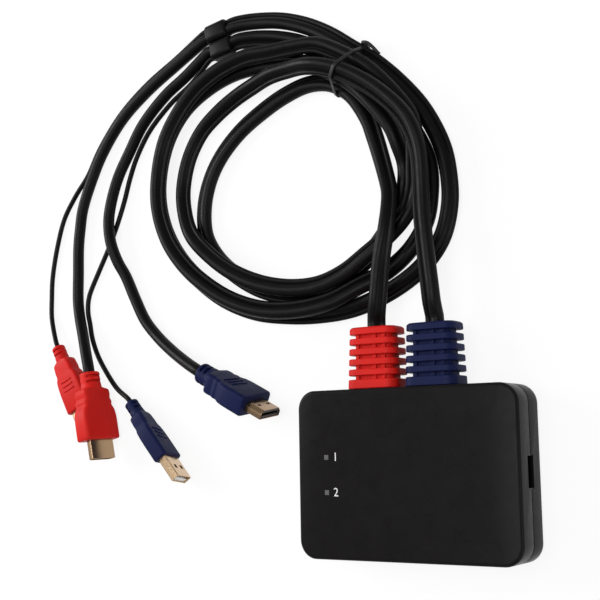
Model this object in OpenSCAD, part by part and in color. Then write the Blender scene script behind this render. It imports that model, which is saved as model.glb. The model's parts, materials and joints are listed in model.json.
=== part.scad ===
// KVM switch for two computers, with its HDMI and USB cords built in.
// Millimetres. Z = 0 is the table. X runs along the wide side of the case,
// the cords leave at +Y, the console sockets and the button are at -Y.

/* [Case] */
// Width of the case along X
case_w = 100; // [96:0.5:112]
// Depth of the case along Y
case_d = 70; // [68:0.5:78]
// Height of the closed case without its feet
case_h = 22; // [22:0.5:28]
// Radius of the upright case corners
corner_r = 8; // [7:0.5:11]
// Rounding of the top and bottom rims
rim_r = 1.4; // [0.8:0.1:2.4]
// Thickness of the case walls
wall = 2; // [1.8:0.1:2.4]
// Chamfer on both covers that shows as the seam line
seam_groove = 0.3; // [0.2:0.05:0.5]

/* [Feet and screws] */
// Diameter of a rubber foot
foot_d = 9.6; // [8:0.2:11]
// How far the feet stand out below the case
foot_h = 1.2; // [0.8:0.1:2.5]
// Diameter of a case screw shank
screw_d = 2.6; // [2:0.1:3]

/* [Sockets and button] */
// Width of a USB socket mouth
usb_mouth_w = 12.5; // [12:0.1:13]
// Height of a USB socket mouth
usb_mouth_h = 5.1; // [4.8:0.1:5.4]
// Place of the side USB socket along Y
side_usb_y = 0.5; // [-4:0.5:4]
// Width of the select button
button_w = 8; // [6:0.5:10]
// Height of the select button
button_h = 5; // [4:0.2:6]
// How far the select button can be pressed
button_travel = 0.8; // [0.4:0.1:1.2]
// Side of a square status light
light_w = 2; // [1.4:0.1:2.6]

/* [Cords] */
// Diameter of the thick HDMI cord
thick_d = 5.7; // [5:0.1:5.8]
// Diameter of the thin USB cord
thin_d = 2.5; // [2:0.1:2.6]
// Width of a strain relief where it meets the case
relief_w = 23.6; // [21:0.2:25]
// Height of a strain relief where it meets the case
relief_h = 16; // [13.6:0.2:17]
// Thickness of one strain relief flange
flange_t = 2.6; // [1.8:0.1:3]

/* [Plugs] */
// Width of an HDMI plug body
hdmi_plug_w = 20.2; // [19:0.2:21]
// Thickness of an HDMI plug body
hdmi_plug_t = 10; // [9:0.2:11]
// Width of a USB plug body
usb_plug_w = 15.6; // [14:0.2:16]
// Thickness of a USB plug body
usb_plug_t = 7.6; // [7:0.2:8.6]

/* [Hidden] */
$fn = 28;
eps = 0.05;

// Levels of the case
back_y = case_d / 2;
front_y = -case_d / 2;
top_z = foot_h + case_h;
seam_z = foot_h + case_h / 2 - 0.4;
port_z = seam_z + 0.2;
floor_z = foot_h + wall;
ceil_z = top_z - wall;
lip_h = 1.4;

// Screws and feet
boss_in_x = 9;
boss_in_y = 10;
boss_x = case_w / 2 - boss_in_x;
boss_y = case_d / 2 - boss_in_y;
boss_r = 4.2;
foot_sink = 0.8;
head_z = foot_h + foot_sink;
head_h = 1.9;
head_d = 5.4;
slot_w = 0.7;
screw_end = seam_z + 6;

// Circuit board
sheet_t = 0.3;
board_gap = 6;
notch_x = 9;
notch_y = 10;
usb_w = usb_mouth_w + 2 * sheet_t;
usb_h = usb_mouth_h + 2 * sheet_t;
board_top = port_z - usb_h / 2;
board_t = 1.6;
board_z = board_top - board_t;
board_w = case_w - 2 * board_gap;
board_d = case_d - 2 * board_gap;
board_screw_d = 2.2;
board_head_h = 1.5;
board_post_d = 6;
board_holes = [
    [-0.34 * board_w, 0.29 * board_d],
    [0.34 * board_w, 0.29 * board_d],
    [-0.30 * board_w, -0.28 * board_d],
    [0.37 * board_w, -0.23 * board_d],
];

// Parts on the board, placed from its middle
switch_chip_w = 14;
switch_chip_at = [0, -2];
hub_chip_w = 9;
hub_chip_at = [-22, -5];
chip_t = 1.2;
part_t = 0.8;
crystal_size = [5, 3.2, 1.3];
crystals_at = [[15, -13], [-14, 9]];
cap_d = 6.3;
cap_h = 5.8;
cap_foot = 6.6;
caps_at = [[22, 7], [22, -5], [-4, 13]];

// Sockets, spread between the screw bosses with the button
usb_deep = 14;
socket_inset = 0.3;
tongue_t = 1.9;
hdmi_w = 15;
hdmi_h = 5.6;
hdmi_deep = 11.5;
hdmi_z = board_top + hdmi_h / 2;
button_gap = 9;
button_x = button_gap - boss_x;
hdmi_gap = 17;
hdmi_x = boss_x - hdmi_gap;
usb_gap = 3.4;
usb_step = usb_w + usb_gap;
console_x = (button_x + hdmi_x) / 2;
console_usb_x = [console_x - usb_step / 2, console_x + usb_step / 2];

// Select button and the switch behind it
button_flange_t = 1.2;
button_stem_y = front_y + 5;
switch_y = front_y + 8;
switch_d = 4;
plunger_d = 3;
plunger_sink = 0.8;

// Status lights
light_inset = 14.5;
light_x = light_inset - case_w / 2;
light_y = [7, -7.5];

// Strain reliefs
relief_x = [-16, 11];
flange_pitch = 4.3;
flange_count = 6;
relief_taper = 1.6;
base_extra = 1.2;
core_inset = 2.5;
neck_w = 17;
neck_h = 10;
anchor_w = 21;
anchor_h = 14;
anchor_t = 2;
relief_len = 0.2 + base_extra + (flange_count - 1) * flange_pitch + flange_t;
cap_len = 0.5;
cord_y = back_y + relief_len + cap_len;
header_y = back_y - 13;

// Collars where a cord splits into its HDMI and USB leads
collar_len = 12;
red_split = [-99, 214];
blue_split = [-96, 205];
red_collar_to = [-111, 212];
blue_collar_to = [-108, 203];
collar_w = thick_d + thin_d + 0.8;
collar_h = thick_d + 1.3;
collar_z = collar_h / 2 + 0.05;

// Straight stretch of a cord at a relief, a collar or a plug
lead_in = 3;

// Cord routes. The third number is a layer: 0 lies on the table, 1 rests on
// one cord and 2 on two. Layers a little above a whole number leave room for
// the tie under the coil.
shift_y = cord_y - 61;
red_route = [
    // out of the case, over the coil and down on its inner left side
    [-14.5, 69, 1.9], [-13, 77, 2.05], [-12, 85, 2.05], [-11, 91, 2.05],
    [-9.5, 97.5, 2.05], [-8.5, 104, 1.95], [-8.5, 112, 1.55], [-10, 120, 0.95],
    [-13.3, 128.5, 0.4], [-16.8, 138, 0.05], [-19.6, 146.8, 0], [-22.8, 156, 0.05],
    [-30, 167.3, 0.15],
    [-40.5, 174.6, 0.15], [-53.5, 176.8, 0.05], [-67, 174, 0], [-80, 168.5, 0],
    [-93, 161, 0], [-104, 151, 0], [-111, 140, 0], [-114.5, 127, 0],
    [-113.5, 113, 0], [-106, 101, 0], [-94, 91, 0], [-80, 83.5, 0],
    // first turn, up the inner right side and round the outer left side
    [-66, 80, 0], [-53, 79, 0], [-40, 82, 0], [-28, 90, 0],
    [-17, 101, 0], [-8.5, 112, 0], [-5, 123, 0], [-4.5, 132, 0.05],
    [-5.6, 140, 0.6], [-8.6, 149, 0.9], [-16.5, 159.8, 1], [-26.6, 170.5, 1],
    [-38, 178.5, 1.05], [-49.5, 184.5, 0.6], [-63, 189.5, 0.05], [-79, 191, 0],
    [-96, 190.5, 0], [-112, 186, 0], [-126, 178, 0], [-136, 166, 0],
    [-141.5, 151, 0], [-142.5, 135, 0], [-138.5, 119, 0], [-129.5, 104, 0],
    // second turn, round the outer right side to the collar
    [-117, 91.5, 0], [-102, 81, 0], [-85, 74, 0], [-68, 71, 0],
    [-50, 70, 0], [-32, 71.5, 0], [-14.5, 77, 0], [0.5, 85.5, 0],
    [11, 97, 0], [15.5, 111, 0], [15.5, 125, 0], [12.5, 138.5, 0],
    [4.5, 154.5, 0], [-6, 168, 0.05], [-18, 180, 0.15], [-30, 189, 0.17],
    [-42, 198, 0.05], [-55, 205.5, 0], [-69, 211, 0], [-84, 214, 0],
    [-95, 214.7, 0.05], [-99, 214, 0.05],
];
blue_route = [
    // out of the case, over the coil and down on its inner left side
    [11, 69, 1.9], [10.5, 78, 2.05], [9.5, 88, 2.05], [8.5, 98, 2],
    [7.5, 108, 1.85], [7, 118, 1.75], [7, 127, 1.8], [6.5, 135, 1.9],
    [4, 144, 2], [-1, 152.5, 2.05], [-12, 163.5, 2.05], [-24.5, 172.5, 2.05],
    [-36.5, 178.3, 2.05], [-48, 181.5, 1.9], [-59.5, 183, 1.3], [-71.5, 183, 0.9],
    [-83, 181.5, 0.3], [-95, 178, 0], [-106, 172, 0], [-116, 164, 0],
    [-123.5, 152, 0], [-127, 138, 0], [-124.5, 125, 0.35], [-117, 112.5, 1],
    [-106, 101.5, 1], [-93, 92.5, 1], [-78, 86, 1], [-62, 82.5, 1],
    // first turn, up the inner right side and round the outer left side
    [-47, 82.5, 1], [-34, 86.5, 1], [-23, 93, 1], [-12, 100.5, 0.9],
    [-3.5, 109, 0.75], [1, 119, 0.75], [2, 128, 0.85], [2.5, 135.5, 0.95],
    [2.5, 143, 1], [0.5, 152, 1], [-9, 165, 1.02], [-20.5, 177, 1.1],
    [-32.5, 185.5, 1.1], [-45, 192, 1.1], [-57.5, 193.5, 1.05], [-71, 194, 1],
    [-85, 194.5, 1], [-101, 191, 1], [-115, 184, 1], [-126, 173.5, 1],
    [-134, 161, 1], [-138, 145, 1], [-138, 129, 1], [-132.5, 113, 1],
    // second turn, up the middle of the right side to the collar
    [-122.5, 99.5, 1], [-109.5, 88.5, 1], [-94, 79.5, 1], [-77, 74, 1],
    [-59, 72.5, 1], [-42, 74.5, 0.95], [-28, 80.5, 0.55], [-15, 86.5, 0],
    [-3.5, 95, 0], [4, 106, 0], [6.5, 118, 0], [6.5, 128, 0],
    [4, 137, 0], [-3, 150, 0], [-12.5, 162.5, 0.05], [-24, 174, 0.15],
    [-35, 182, 0.17], [-46.5, 191, 0.05], [-58, 197.5, 0], [-70, 202, 0],
    [-82, 204.8, 0], [-92, 205.7, 0.05], [-96, 205, 0.05],
];

// Lead routes from the collars to the plugs, with plain heights
red_hdmi_lead = [
    [-131, 202, 2.9], [-150, 192, 2.9], [-167, 180, 2.9], [-180, 165, 2.9],
    [-188, 151, 2.9], [-194, 137, 2.9], [-196, 126, 2.9], [-197, 116, 2.9],
    [-197, 103, 2.9], [-197, 89, 2.9], [-195, 79.5, 3.6], [-190.5, 70, 6],
    [-185.5, 60, 9],
];
red_usb_lead = [
    [-132.5, 206, 1.4], [-152, 196, 1.4], [-169.5, 183.5, 1.4], [-183.5, 168, 1.4],
    [-192, 154.5, 1.4], [-201, 144.5, 1.4], [-209, 133, 1.4], [-214, 118, 1.4],
    [-217, 103, 1.4], [-217.5, 91, 1.4], [-217, 82, 1.8], [-214, 74, 3.2],
];
blue_hdmi_lead = [
    [-125, 195, 2.9], [-139, 187, 2.9], [-153, 175, 2.9], [-162, 162, 3],
    [-168.5, 150, 4], [-172, 138, 5.2], [-173.5, 127, 5.8], [-172, 116, 5.8],
    [-168.5, 106, 4.5], [-164, 98, 3.2], [-158, 86, 2.9], [-151.5, 75, 3.1],
    [-142.5, 66, 4], [-132, 58.5, 6.2], [-121, 52, 8.8],
];
blue_usb_lead = [
    [-123, 191, 1.4], [-136.5, 183, 1.4], [-149.5, 172, 1.4], [-158, 160, 1.4],
    [-163, 149, 1.4], [-167, 137, 1.4], [-172, 125, 1.4], [-177.5, 114, 1.4],
    [-184.5, 102, 1.4], [-190.5, 91, 1.4], [-191.5, 83, 1.4], [-190, 76, 1.4],
    [-188, 68, 1.6], [-184, 59, 1.6], [-177, 50, 2.6], [-168, 42, 5.2],
];

// Plugs lie on the table: place, heading and roll of each
red_hdmi_at = [-181.9, 50];
red_hdmi_turn = [-78.5, -80];
blue_hdmi_at = [-110.8, 46.7];
blue_hdmi_turn = [-27.5, 100];
red_usb_at = [-209.8, 65];
red_usb_turn = [-61.8, 3];
blue_usb_at = [-156.5, 34.3];
blue_usb_turn = [-49.5, -101];
hdmi_len = 34;
usb_len = 36;
hdmi_tip = 9.5;
usb_tip = 12.5;
hdmi_tip_w = 13.9;
hdmi_tip_h = 4.45;
usb_tip_w = 12;
usb_tip_h = 4.5;
tip_wall = 0.35;
plug_r = 3;
red_hdmi_z = rest(hdmi_plug_w, hdmi_plug_t, red_hdmi_turn[1]);
blue_hdmi_z = rest(hdmi_plug_w, hdmi_plug_t, blue_hdmi_turn[1]);
red_usb_z = rest(usb_plug_w, usb_plug_t, red_usb_turn[1]);
blue_usb_z = rest(usb_plug_w, usb_plug_t, blue_usb_turn[1]);

// Tie round the coil
tie_at = [-24.5, 184.5];
tie_turn = -130;
tie_w = 1.8;
tie_t = 0.6;
tie_gap = 0.25;
// Cords it holds: place along the tie, height, and the side of the thin cord
tie_cords = [
    [-0.3, 3.8, -1], [8.2, 3.8, 1], [17.4, 3.8, -1],
    [3.8, 9.4, 1], [12.7, 9, -1], [11.1, 15.1, 1],
];

// Functions

function unit(v) = v / norm(v);

// Height of a plug's middle line when its rolled body rests on the table
function rest(w, t, roll) =
    (w / 2 - plug_r) * abs(sin(roll)) + (t / 2 - plug_r) * abs(cos(roll)) + plug_r + 0.05;

// Rounded rectangle, counter-clockwise, with n steps on each corner
function outline(w, d, r, n) =
    [for (q = [0:3], i = [0:n])
        let (a = 90 * q + 90 * i / n)
        let (cx = (q == 0 || q == 3 ? 1 : -1) * (w / 2 - r))
        let (cy = (q < 2 ? 1 : -1) * (d / 2 - r))
        [cx + r * cos(a), cy + r * sin(a)]];

// Outline of the case at height z, drawn in by inset
function case_ring(z, inset) =
    [for (p = outline(case_w - 2 * inset, case_d - 2 * inset, corner_r - inset, 6))
        [p[0], p[1], z]];

// Ring of a plug body across its own X axis
function plug_ring(s, w, t, r) =
    [for (p = outline(w, t, min(r, t / 2 - 0.01), 3)) [s, p[0], p[1]]];

// Ring of a strain relief at distance s from the case
function relief_ring(s, inset) =
    let (f = relief_taper * max(s, 0) / relief_len)
    let (w = relief_w - f - 2 * inset, h = relief_h - f - 2 * inset)
    [for (p = outline(w, h, 4.5 - inset / 2, 3)) [p[0], p[1], s]];

// Section of the thick cord with the thin one beside it, on side +1 or -1
function pair_section(side) =
    let (small = [for (a = [-70, -25, 25, 70])
        [thick_d / 2 + thin_d / 2 * cos(a), thin_d / 2 * sin(a)]])
    let (big = [for (a = [45, 85, 125, 160, 200, 235, 275, 315])
        [thick_d / 2 * cos(a) - thin_d / 2, thick_d / 2 * sin(a)]])
    let (both = concat(small, big), n = len(both))
    side > 0 ? both : [for (i = [1:n]) [-both[n - i][0], both[n - i][1]]];

function round_section(d, n) = [for (i = [0:n - 1]) d / 2 * [cos(360 * i / n), sin(360 * i / n)]];

// Direction of a route at its point i
function heading(route, i) =
    let (last = len(route) - 1)
    let (back = i > 0 ? unit(route[i] - route[i - 1]) : [0, 0, 0])
    let (ahead = i < last ? unit(route[i + 1] - route[i]) : [0, 0, 0])
    unit(back + ahead);

// Rings of a cord: its section set square to the route at every point
function cord_rings(route, section) =
    [for (i = [0:len(route) - 1])
        let (t = heading(route, i))
        let (s = unit(cross([0, 0, 1], t)), u = cross(t, s))
        [for (p = section) route[i] + p[0] * s + p[1] * u]];

// Height of a cord middle from its layer
function layer_z(n) = 0.05 + thick_d / 2 + n * (thick_d + 0.2);
function laid(route) = [for (p = route) [p[0], p[1] + shift_y, layer_z(p[2])]];
function shifted(route) = [for (p = route) [p[0], p[1] + shift_y, p[2]]];

// First two points of a lead: out of a collar's far end, off its middle by side
function collar_exit(from, to, side, z) =
    let (t = unit(to - from))
    let (p = [to[0] - side * t[1], to[1] + side * t[0] + shift_y, z])
    [p, p + [lead_in * t[0], lead_in * t[1], 0]];

// Last two points of a lead: straight into the neck of a plug
function plug_entry(at, z, turn) =
    let (p = [at[0], at[1] + shift_y, z])
    [p - lead_in * [cos(turn), sin(turn), 0], p];

// First two points of a cord: straight out of a strain relief
function relief_exit(x) = [[x, cord_y, port_z], [x, cord_y + lead_in, port_z]];

// Solid helpers

module skin(rings) {
    n = len(rings[0]);
    m = len(rings);
    points = [for (ring = rings, p = ring) p];
    start = [[for (i = [0:n - 1]) i]];
    finish = [[for (i = [1:n]) m * n - i]];
    sides = [for (j = [0:m - 2], i = [0:n - 1], k = [0:1])
        let (a = j * n + i, b = j * n + (i + 1) % n)
        k == 0 ? [a, a + n, b] : [b, a + n, b + n]];
    polyhedron(points, concat(start, sides, finish), convexity = 8);
}

module box(size, at) {
    translate(at) cube(size, center = true);
}

// Box standing on height z
module block(size, x, y, z) {
    translate([x - size[0] / 2, y - size[1] / 2, z]) cube(size);
}

module at_bosses() {
    for (x = [-boss_x, boss_x], y = [-boss_y, boss_y])
        translate([x, y, 0]) children();
}

module at_board_holes() {
    for (p = board_holes) translate([p[0], p[1], 0]) children();
}

// Everything that passes through the upright walls of both covers
module wall_openings() {
    d = 2 * wall + 2;
    for (x = relief_x)
        box([neck_w + 2 * eps, d, neck_h + 2 * eps], [x, back_y, port_z]);
    for (x = console_usb_x)
        box([usb_w + 2 * eps, d, usb_h + 2 * eps], [x, front_y, port_z]);
    box([hdmi_w + 2 * eps, d, hdmi_h + 2 * eps], [hdmi_x, front_y, hdmi_z]);
    box([d, usb_w + 2 * eps, usb_h + 2 * eps], [case_w / 2, side_usb_y, port_z]);
    box([button_w + 0.2, d, button_h + 0.2], [button_x, front_y, port_z]);
}

// Case

module top_cover() {
    curve = [for (a = [0:22.5:90])
        case_ring(top_z - rim_r + rim_r * sin(a), rim_r * (1 - cos(a)))];
    foot = [case_ring(seam_z, seam_groove), case_ring(seam_z + seam_groove, 0)];
    hollow = [
        case_ring(seam_z - 1, wall),
        case_ring(ceil_z - 0.8, wall),
        case_ring(ceil_z, wall + 0.8),
    ];
    color("#2c2c2e") {
        difference() {
            skin(concat(foot, curve));
            skin(hollow);
            skin([case_ring(seam_z - 1, wall / 2), case_ring(seam_z + lip_h + 0.1, wall / 2)]);
            wall_openings();
            for (y = light_y)
                box([light_w + 0.1, light_w + 0.1, 3 * wall], [light_x, y, top_z]);
        }
        at_bosses() difference() {
            translate([0, 0, seam_z]) cylinder(r = boss_r - 0.8, h = ceil_z - seam_z);
            translate([0, 0, seam_z - 1]) cylinder(d = screw_d + 0.1, h = screw_end - seam_z + 1.6);
        }
    }
}

module bottom_cover() {
    curve = [for (a = [90:-22.5:0])
        case_ring(foot_h + rim_r * (1 - sin(a)), rim_r * (1 - cos(a)))];
    head = [case_ring(seam_z - seam_groove, 0), case_ring(seam_z, seam_groove)];
    hollow = [
        case_ring(floor_z, wall + 0.8),
        case_ring(floor_z + 0.8, wall),
        case_ring(seam_z + 1, wall),
    ];
    lip = wall / 2 + 0.1;
    color("#262628") difference() {
        union() {
            difference() {
                skin(concat(curve, head));
                skin(hollow);
            }
            difference() {
                skin([case_ring(seam_z - 1, lip), case_ring(seam_z + lip_h, lip)]);
                skin([case_ring(seam_z - 2, wall), case_ring(seam_z + lip_h + 1, wall)]);
            }
            at_bosses() translate([0, 0, foot_h + 1]) cylinder(r = boss_r, h = seam_z - foot_h - 1);
            at_board_holes() translate([0, 0, foot_h + 1])
                cylinder(d = board_post_d, h = board_z - foot_h - 1);
        }
        wall_openings();
        at_bosses() {
            cylinder(d = foot_d + 0.1, h = head_z);
            cylinder(d = head_d + 0.4, h = head_z + head_h);
            cylinder(d = screw_d + 0.1, h = top_z);
        }
        at_board_holes() translate([0, 0, floor_z]) cylinder(d = board_screw_d + 0.1, h = case_h);
    }
}

module case_screws() {
    color("#b9bcc0") at_bosses() difference() {
        union() {
            translate([0, 0, head_z + 0.1]) cylinder(d = head_d, h = head_h - 0.1);
            translate([0, 0, head_z + 1]) cylinder(d = screw_d, h = screw_end - head_z - 1);
        }
        for (a = [0, 90]) rotate(a) box([0.6 * head_d, slot_w, head_h], [0, 0, head_z]);
    }
}

module rubber_feet() {
    color("#1a1a1a") at_bosses() cylinder(d1 = foot_d - 1, d2 = foot_d, h = head_z);
}

// Circuit board and its parts

module circuit_board() {
    color("#1d5b3a") difference() {
        union() {
            block([board_w, board_d - 2 * notch_y, board_t], 0, 0, board_z);
            block([board_w - 2 * notch_x, board_d, board_t], 0, 0, board_z);
        }
        at_board_holes() cylinder(d = board_screw_d + 0.2, h = top_z);
    }
}

module board_screws() {
    color("#c4c7ca") at_board_holes() difference() {
        union() {
            translate([0, 0, board_top]) cylinder(d = 2 * board_screw_d, h = board_head_h);
            translate([0, 0, floor_z + 0.8]) cylinder(d = board_screw_d, h = board_top - floor_z);
        }
        for (a = [0, 90]) rotate(a)
            box([1.2 * board_screw_d, slot_w, board_head_h], [0, 0, board_top + board_head_h]);
    }
}

module chip(side, at) {
    legs = floor(side / 1.6);
    block([side, side, chip_t], at[0], at[1], board_top + 0.2);
    block([side - 2, side - 2, 0.2], at[0], at[1], board_top);
    for (i = [0:legs - 1], a = [0:90:270])
        translate([at[0], at[1], board_top]) rotate(a)
            translate([side / 2 - 0.1, (i - (legs - 1) / 2) * 1.5 - 0.25, 0]) cube([1, 0.5, 0.5]);
}

module switch_chip() {
    color("#1c1c1e") chip(switch_chip_w, switch_chip_at);
}

module hub_chip() {
    color("#1f1f21") chip(hub_chip_w, hub_chip_at);
}

module crystals() {
    color("#c9ccce") for (p = crystals_at) block(crystal_size, p[0], p[1], board_top);
}

module capacitors() {
    color("#a9acb0") for (p = caps_at)
        translate([p[0], p[1], board_top]) {
            block([cap_foot, cap_foot, 1], 0, 0, 0);
            cylinder(d = cap_d, h = cap_h);
        }
}

// Rows of small parts round the switch chip, and one row by the hub chip
module chip_components() {
    x = switch_chip_at[0];
    y = switch_chip_at[1];
    off = switch_chip_w / 2 + 2.4;
    color("#8a6a48") {
        for (i = [-2:2], k = [-1, 1]) {
            block([part_t, 1.6, part_t], x + 2.6 * i, y + k * off, board_top);
            block([1.6, part_t, part_t], x + k * off, y + 2.4 * i, board_top);
        }
        for (i = [-1:1])
            block([1.6, part_t, part_t], hub_chip_at[0] + 8, hub_chip_at[1] + 2.4 * i, board_top);
    }
}

module status_leds() {
    color("#e8efe2") for (y = light_y) block([1.6, 1.6, 0.8], light_x, y, board_top);
}

module light_pipes() {
    color("#dfe6ea") for (y = light_y) {
        block([light_w, light_w, top_z - board_top - 1.1], light_x, y, board_top + 1.1);
        block([light_w + 2, light_w + 2, 0.8], light_x, y, ceil_z - 0.8);
    }
}

// Select button

module select_button() {
    color("#3a3a3d") {
        translate([button_x, front_y, port_z]) rotate([-90, 0, 0])
            linear_extrude(wall + 0.2) polygon(outline(button_w, button_h, 1.2, 4));
        box([button_w + 2, button_flange_t, button_h + 2],
            [button_x, front_y + wall + button_flange_t / 2, port_z]);
        translate([button_x - 2, front_y + wall, port_z - 1.5])
            cube([4, button_stem_y - front_y - wall, 3]);
    }
}

module tact_switch() {
    color("#27272a") difference() {
        block([6, switch_d, 5.8], button_x, switch_y + switch_d / 2, board_top);
        translate([button_x, switch_y - 1, port_z]) rotate([-90, 0, 0])
            cylinder(d = plunger_d + 0.1, h = 1 + plunger_sink + button_travel + 0.6);
    }
}

module tact_plunger() {
    color("#d8d8d4") translate([button_x, button_stem_y, port_z]) rotate([-90, 0, 0])
        cylinder(d = plunger_d, h = switch_y - button_stem_y + plunger_sink);
}

// Sockets. Their own frame: mouth at Y = 0 facing -Y, board under the shell.

module usb_shell() {
    difference() {
        translate([-usb_w / 2, 0, -usb_h / 2]) cube([usb_w, usb_deep, usb_h]);
        translate([-usb_mouth_w / 2, -1, -usb_mouth_h / 2])
            cube([usb_mouth_w, usb_deep + 1 - sheet_t, usb_mouth_h]);
    }
}

module usb_tongue() {
    translate([-usb_mouth_w / 2, usb_deep - 4, -usb_mouth_h / 2])
        cube([usb_mouth_w, 4 - sheet_t, usb_mouth_h]);
    translate([-usb_mouth_w / 2 + 0.7, 1, 0.3]) cube([usb_mouth_w - 1.4, usb_deep - 4, tongue_t]);
}

module usb_fingers() {
    for (i = [-1.5:1.5]) translate([2.4 * i - 0.5, 1.8, 0.1]) cube([1, usb_deep - 5.8, 0.2]);
}

module at_side_usb() {
    translate([case_w / 2 - socket_inset, side_usb_y, port_z]) rotate(90) children();
}

module at_console_usb() {
    for (x = console_usb_x) translate([x, front_y + socket_inset, port_z]) children();
}

module side_usb_shell() {
    color("#c3c6c8") at_side_usb() usb_shell();
}

module side_usb_tongue() {
    color("#ededeb") at_side_usb() usb_tongue();
}

module side_usb_contacts() {
    color("#d0a850") at_side_usb() usb_fingers();
}

module console_usb_shells() {
    color("#c3c6c8") at_console_usb() usb_shell();
}

module console_usb_tongues() {
    color("#ededeb") at_console_usb() usb_tongue();
}

module console_usb_contacts() {
    color("#d0a850") at_console_usb() usb_fingers();
}

// HDMI outline: a bar with its two lower corners cut away
module hdmi_outline(w, h) {
    c = h * 0.36;
    polygon([
        [-w / 2, h / 2], [-w / 2, c - h / 2], [c - w / 2, -h / 2],
        [w / 2 - c, -h / 2], [w / 2, c - h / 2], [w / 2, h / 2],
    ]);
}

// HDMI socket frame: Z runs from its back end out to the mouth
module at_hdmi_out() {
    translate([hdmi_x, front_y + socket_inset + hdmi_deep, hdmi_z]) rotate([90, 0, 0]) children();
}

module hdmi_out_shell() {
    color("#c3c6c8") at_hdmi_out() difference() {
        linear_extrude(hdmi_deep) hdmi_outline(hdmi_w, hdmi_h);
        translate([0, 0, 0.4]) linear_extrude(hdmi_deep) hdmi_outline(hdmi_w - 1, hdmi_h - 1);
    }
}

module hdmi_out_tongue() {
    color("#1b1b1d") at_hdmi_out() {
        translate([0, 0, 0.4]) linear_extrude(3) hdmi_outline(hdmi_w - 1, hdmi_h - 1);
        translate([-hdmi_w / 2 + 1.5, -0.3, 1]) cube([hdmi_w - 3, 1.2, hdmi_deep - 2.5]);
    }
}

module wire_headers() {
    color("#e6e3da") for (x = relief_x) block([9.6, 5, 6], x, header_y, board_top);
}

module inner_wires(x) {
    y0 = header_y + 2.5;
    y1 = back_y - wall - anchor_t;
    for (i = [-2:2]) translate([x + 1.8 * i, y0, port_z]) rotate([-90, 0, 0])
        cylinder(d = 1.3, h = y1 - y0, $fn = 12);
}

module red_wires() {
    color("#b04038") inner_wires(relief_x[0]);
}

module blue_wires() {
    color("#38509c") inner_wires(relief_x[1]);
}

// Strain reliefs, built along Z and turned to +Y

module strain_relief(x) {
    ribs = [for (i = [0:flange_count - 1], k = [0:3])
        let (s = 0.2 + i * flange_pitch + (i > 0 || k > 1 ? base_extra : 0) + (k > 1 ? flange_t : 0))
        relief_ring(s, k == 0 || k == 3 ? core_inset : 0)];
    body = [for (i = [0:len(ribs) - 2]) ribs[i]];
    translate([x, back_y, port_z]) rotate([-90, 0, 0]) {
        skin(concat([relief_ring(0, core_inset)], body, [relief_ring(relief_len + cap_len, cap_len)]));
        block([neck_w, neck_h, wall + 0.5], 0, 0, -wall - 0.25);
        block([anchor_w, anchor_h, anchor_t], 0, 0, -wall - anchor_t);
    }
}

module red_strain_relief() {
    color("#d8322e") strain_relief(relief_x[0]);
}

module blue_strain_relief() {
    color("#2f3e8c") strain_relief(relief_x[1]);
}

// Cords

module cord(route, section) {
    skin(cord_rings(route, section));
}

module red_cable() {
    color("#2b2a2b") cord(concat(relief_exit(relief_x[0]), laid(red_route)), pair_section(-1));
}

module blue_cable() {
    color("#2b2a2b") cord(concat(relief_exit(relief_x[1]), laid(blue_route)), pair_section(1));
}

module collar(from, to) {
    angle = atan2(to[1] - from[1], to[0] - from[0]);
    length = norm(to - from);
    r = 2.6;
    translate([from[0], from[1] + shift_y, collar_z]) rotate(angle) skin([
        plug_ring(0, collar_w - 1.6, collar_h - 1.6, r - 0.6),
        plug_ring(0.4, collar_w - 0.6, collar_h - 0.6, r - 0.2),
        plug_ring(1.2, collar_w, collar_h, r),
        plug_ring(length - 1.2, collar_w, collar_h, r),
        plug_ring(length - 0.4, collar_w - 0.6, collar_h - 0.6, r - 0.2),
        plug_ring(length, collar_w - 1.6, collar_h - 1.6, r - 0.6),
    ]);
}

module red_collar() {
    color("#242325") collar(red_split, red_collar_to);
}

module blue_collar() {
    color("#242325") collar(blue_split, blue_collar_to);
}

module red_hdmi_lead_cord() {
    start = collar_exit(red_split, red_collar_to, thin_d / 2, layer_z(0.05));
    finish = plug_entry(red_hdmi_at, red_hdmi_z, red_hdmi_turn[0]);
    color("#2b2a2b") cord(concat(start, shifted(red_hdmi_lead), finish), round_section(thick_d, 10));
}

module red_usb_lead_cord() {
    start = collar_exit(red_split, red_collar_to, -thick_d / 2, layer_z(0.05));
    finish = plug_entry(red_usb_at, red_usb_z, red_usb_turn[0]);
    color("#2b2a2b") cord(concat(start, shifted(red_usb_lead), finish), round_section(thin_d, 8));
}

module blue_hdmi_lead_cord() {
    start = collar_exit(blue_split, blue_collar_to, -thin_d / 2, layer_z(0.05));
    finish = plug_entry(blue_hdmi_at, blue_hdmi_z, blue_hdmi_turn[0]);
    color("#2b2a2b") cord(concat(start, shifted(blue_hdmi_lead), finish), round_section(thick_d, 10));
}

module blue_usb_lead_cord() {
    start = collar_exit(blue_split, blue_collar_to, thick_d / 2, layer_z(0.05));
    finish = plug_entry(blue_usb_at, blue_usb_z, blue_usb_turn[0]);
    color("#2b2a2b") cord(concat(start, shifted(blue_usb_lead), finish), round_section(thin_d, 8));
}

// Plugs. Their own frame: cord enters at X = 0, metal tip at +X, width along Y.

module at_plug(at, z, turn) {
    translate([at[0], at[1] + shift_y, z]) rotate([0, 0, turn[0]]) rotate([turn[1], 0, 0]) children();
}

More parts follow.
